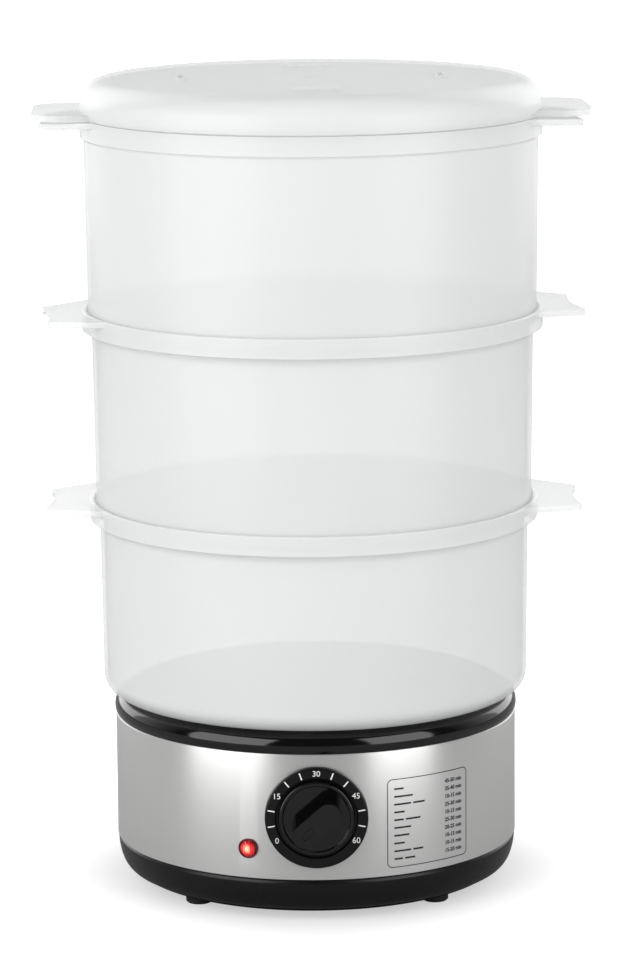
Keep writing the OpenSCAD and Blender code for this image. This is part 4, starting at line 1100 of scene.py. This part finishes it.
# %% Shell of the lid
LID_R = 113.3
LIP_R = 110.0
LIP_D = 4.0
LID_TURN = 2.0
SHOULDER = 13.0
PANEL_R = 97.3
PANEL_RISE = 0.5
LID_GRIP_REACH = 136.0
LID_GRIP_HALF = 35.0
lid_low, lid_high = (corner.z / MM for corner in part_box("lid"))
lid_z = lid_low + LIP_D
ridge_z = lid_high - 0.4
panel_z = ridge_z - 0.7
ceiling_z = panel_z - WALL_T
shoulder_at = (LID_R - SHOULDER, ridge_z - SHOULDER)
lid_section = [(LID_R, lid_z, 0.5)] + arc(shoulder_at, SHOULDER, 0, 90, 20)
lid_section += [(PANEL_R + 1, ridge_z, 1.5), (PANEL_R, panel_z, 1.5), (0, panel_z + PANEL_RISE),
                (0, ceiling_z + PANEL_RISE), (PANEL_R, ceiling_z)]
lid_section += arc(shoulder_at, SHOULDER - WALL_T, 80, 0, 14)
lid_section += [(LID_R - WALL_T, lid_z + WALL_T), (LIP_R - WALL_T, lid_z + WALL_T, 0.5),
                (LIP_R - WALL_T, lid_low, 0.5), (LIP_R, lid_low, 0.5), (LIP_R, lid_z, 0.3)]
lid = turned("lid_cover", rounded(lid_section), BAND_STEPS)


def lid_handle():
    """One flat handle of the lid along +X."""
    plan = rounded([(LID_R - 25, -LID_GRIP_HALF), (LID_GRIP_REACH, -LID_GRIP_HALF, 16),
                    (LID_GRIP_REACH, LID_GRIP_HALF, 16), (LID_R - 25, LID_GRIP_HALF)], 10)
    return plate("lid_handle", plan, lid_z, lid_z + HANDLE_T, HANDLE_EDGE)


mark_section = rounded([(0, panel_z), (3, panel_z), (3, panel_z + 0.75, 0.3), (0, panel_z + 0.75)])
gate_mark = turned("gate_mark", mark_section, 48)
combine(lid, "UNION", both_sides(lid_handle, LID_R - 1, lid_z - 5, lid_z + 8) + [gate_mark])
print("lid from", round(lid_low, 1), "to", round(lid_high, 1), "mm above the table")

# %% [markdown]
# ### Steam vents
# Four raised bars, each with a slot along it, let the steam out. They repeat round a circle, so Geometry
# Nodes set the bars and the slots on the four points of a mesh circle, join the bars to the lid and then
# cut the slots. The two shapes come in as objects, which are deleted once the result is kept.

# %% Vents
VENT_RING = 63.5
VENTS = 4
tree, sizes = new_tree("lid_vents", {"Ring": "NodeSocketFloat", "Vents": "NodeSocketInt",
                                     "Raised Bar": "NodeSocketObject", "Slot": "NodeSocketObject"})
circle = add_node(tree, "GeometryNodeMeshCircle", None, {"Vertices": sizes["Vents"], "Radius": sizes["Ring"]})
where = add_node(tree, "GeometryNodeInputPosition").outputs["Position"]
facing = add_node(tree, "FunctionNodeAlignRotationToVector", {"axis": "X"}, {"Vector": where})
result = sizes["Geometry"]
for name, operation in (("Raised Bar", "UNION"), ("Slot", "DIFFERENCE")):
    shape = add_node(tree, "GeometryNodeObjectInfo", None, {"Object": sizes[name]})
    copies = add_node(tree, "GeometryNodeInstanceOnPoints", None,
                      {"Points": circle.outputs["Mesh"], "Instance": shape.outputs["Geometry"],
                       "Rotation": facing.outputs["Rotation"]})
    join = add_node(tree, "GeometryNodeMeshBoolean", {"operation": operation, "solver": "MANIFOLD"})
    tree.links.new(result, join.inputs["Mesh 1" if operation == "DIFFERENCE" else "Mesh 2"])
    tree.links.new(copies.outputs["Instances"], join.inputs["Mesh 2"])
    result = join.outputs["Mesh"]
end_tree(tree, result, milky_pp)
across = Matrix.Rotation(math.radians(90), 4, "Z")
raised = plate("raised_bar", stadium(24, 6, 16), panel_z - 1, lid_high, 0.6, across)
slot = plate("slot", stadium(18, 2.4), ceiling_z - 2, lid_high + 2, 0.0, across)
grow(lid, tree, {"Ring": VENT_RING * MM, "Vents": VENTS, "Raised Bar": raised, "Slot": slot})
for tool in (raised, slot):
    bpy.data.objects.remove(tool)
lid.data.transform(Matrix.Rotation(math.radians(LID_TURN), 4, "Z"))
finish_piece(even_normals(smooth(lid)), "cover", "lid")

# %% [markdown]
# ## Camera
# The camera stands about 2 m in front of the steamer and well above the base, with a long lens, so the
# stack narrows very little with height. The picture is 640 by 965 pixels. The place, the three angles and
# the focal length were found from the ellipses of the base, the tiers and the lid.

# %% Camera
PICTURE_H = 965
FOCAL_PX = 4146.7
CAMERA_AT = (0, -2.02705, 0.57805)
PITCH, PAN, ROLL = 10.61, 0.088, 0.4625
camera_data = bpy.data.cameras.new("camera")
camera_data.sensor_width = 36.0
camera_data.lens = camera_data.sensor_width * FOCAL_PX / PICTURE_H
camera = new_piece("camera", camera_data)
camera.matrix_world = (Matrix.Translation(CAMERA_AT) @ Matrix.Rotation(-math.radians(PAN), 4, "Z")
                       @ Matrix.Rotation(math.pi / 2 - math.radians(PITCH), 4, "X")
                       @ Matrix.Rotation(-math.radians(ROLL), 4, "Z"))
bpy.context.scene.camera = camera
print("lens", round(camera_data.lens, 1), "mm")

# %% [markdown]
# ## Light
# A picture like this is made in a white studio. Two large soft boxes stand left and right of the camera,
# a little above the middle of the steamer, and they draw the upright stripes of light on the steel and the
# black ring. A faint one above lights the lid, and two weaker ones behind do for the back what the first
# two do for the front. Each is set by its direction, its size and the brightness of its surface.

# %% Soft boxes
AIM = Vector((0, 0, 0.2))


def softbox(name, azimuth, elevation, size, distance, radiance):
    """A soft lamp of the given width and height in m that faces the middle of the steamer."""
    a, e = math.radians(azimuth), math.radians(elevation)
    way = Vector((math.sin(a) * math.cos(e), -math.cos(a) * math.cos(e), math.sin(e)))
    data = bpy.data.lights.new(name, "AREA")
    data.shape = "RECTANGLE"
    data.size, data.size_y = size
    data.energy = radiance * size[0] * size[1] * math.pi
    lamp = new_piece(name, data)
    facing = way.to_track_quat("Z", "Y").to_matrix().to_4x4()
    lamp.matrix_world = Matrix.Translation(AIM + way * distance) @ facing
    lamp.visible_camera = False


softbox("left_softbox", -50, 14, (1.15, 1.15), 1.3, 2.85)
softbox("right_softbox", 48, 14, (0.9, 1.15), 1.3, 2.65)
softbox("top_softbox", 0, 84, (1.2, 1.2), 1.3, 0.2)
softbox("back_left_softbox", -140, 20, (0.9, 1.15), 1.4, 1.5)
softbox("back_right_softbox", 140, 20, (0.9, 1.15), 1.4, 1.5)

# %% [markdown]
# ### White background
# The camera sees pure white behind the object, directly and through clear parts, and this adds no light to
# it. A diffuse surface gets half of that white as soft fill. A glossy surface sees a studio that is dark on
# the camera's side and white behind the object, which gives the black ring its dark front.

# %% White background
FILL = 0.5
world = bpy.data.worlds.new("white_studio")
bpy.context.scene.world = world
world.use_nodes = True
tree = world.node_tree
sky = tree.nodes["Background"]
sky.inputs["Color"].default_value = (1, 1, 1, 1)
rays = add_node(tree, "ShaderNodeLightPath")
way = add_node(tree, "ShaderNodeTexCoord")
parts = add_node(tree, "ShaderNodeSeparateXYZ", None, {"Vector": way.outputs["Generated"]})
backdrop = add_node(tree, "ShaderNodeMapRange", None,
                    {"Value": parts.outputs["Y"], "From Min": -0.1, "From Max": 0.6,
                     "To Min": 0.05, "To Max": 1.0})
mirrored = add_node(tree, "ShaderNodeMath", {"operation": "MULTIPLY"},
                    {0: rays.outputs["Is Glossy Ray"], 1: backdrop.outputs["Result"]})
seen = add_node(tree, "ShaderNodeMath", {"operation": "MAXIMUM"},
                {0: rays.outputs["Is Camera Ray"], 1: rays.outputs["Is Transmission Ray"]})
diffuse = add_node(tree, "ShaderNodeMath", {"operation": "MULTIPLY"},
                   {0: rays.outputs["Is Diffuse Ray"], 1: FILL})
plain = add_node(tree, "ShaderNodeMath", {"operation": "MAXIMUM"},
                 {0: seen.outputs["Value"], 1: diffuse.outputs["Value"]})
level = add_node(tree, "ShaderNodeMath", {"operation": "MAXIMUM"},
                 {0: plain.outputs["Value"], 1: mirrored.outputs["Value"]})
tree.links.new(level.outputs["Value"], sky.inputs["Strength"])
print("background:", world.name)

# %% [markdown]
# ### Floor
# The floor is pale grey paper that catches the object's soft shadow. Close to the object half of its white
# is added for the camera, so the shadow keeps its depth, and from there it grows to pure white, so the
# floor's edge never shows. A glossy surface sees a darker grey floor than the camera does: this is a
# painted darker reflection, which keeps the low part of the steel band and the black plastics dark.

# %% Floor
FLOOR_HALF = 12.0
SHADOW_R, WHITE_R = 0.1, 0.22
floor_mesh = bpy.data.meshes.new("floor")
floor_mesh.from_pydata([(x * FLOOR_HALF, y * FLOOR_HALF, 0.0) for x, y in CORNERS], [], [(0, 1, 2, 3)])
floor = new_piece("floor", floor_mesh)
paper = bpy.data.materials.new("white_paper_floor")
paper.use_nodes = True
tree = paper.node_tree
tree.nodes.remove(tree.nodes["Principled BSDF"])
rays = add_node(tree, "ShaderNodeLightPath")
# Glossy rays see a darker grey than the camera: a painted darker reflection in the steel and the black
# plastics.
paper_grey_and_dark_reflection = add_node(tree, "ShaderNodeMixRGB", None,
                      {"Fac": rays.outputs["Is Glossy Ray"], "Color1": linear("#C4C4C4"),
                       "Color2": linear("#A2A2A2")})
matt = add_node(tree, "ShaderNodeBsdfDiffuse", None, {"Color": paper_grey_and_dark_reflection.outputs["Color"]})
place = add_node(tree, "ShaderNodeTexCoord")
away = add_node(tree, "ShaderNodeVectorMath", {"operation": "LENGTH"}, {0: place.outputs["Object"]})
white = add_node(tree, "ShaderNodeMapRange", None,
                 {"Value": away.outputs["Value"], "From Min": SHADOW_R, "From Max": WHITE_R,
                  "To Min": 0.5, "To Max": 1.0})
seen = add_node(tree, "ShaderNodeMath", {"operation": "MAXIMUM"},
                {0: rays.outputs["Is Camera Ray"], 1: rays.outputs["Is Transmission Ray"]})
shown = add_node(tree, "ShaderNodeMath", {"operation": "MULTIPLY"},
                 {0: seen.outputs["Value"], 1: white.outputs["Result"]})
lift = add_node(tree, "ShaderNodeEmission", None,
                {"Color": (1, 1, 1, 1), "Strength": shown.outputs["Value"]})
both = add_node(tree, "ShaderNodeAddShader", None, {0: matt.outputs["BSDF"], 1: lift.outputs["Emission"]})
tree.links.new(both.outputs["Shader"], tree.nodes["Material Output"].inputs["Surface"])
floor_mesh.materials.append(paper)
bpy.context.scene.view_settings.view_transform = "Standard"
print("floor:", 2 * FLOOR_HALF, "m wide")
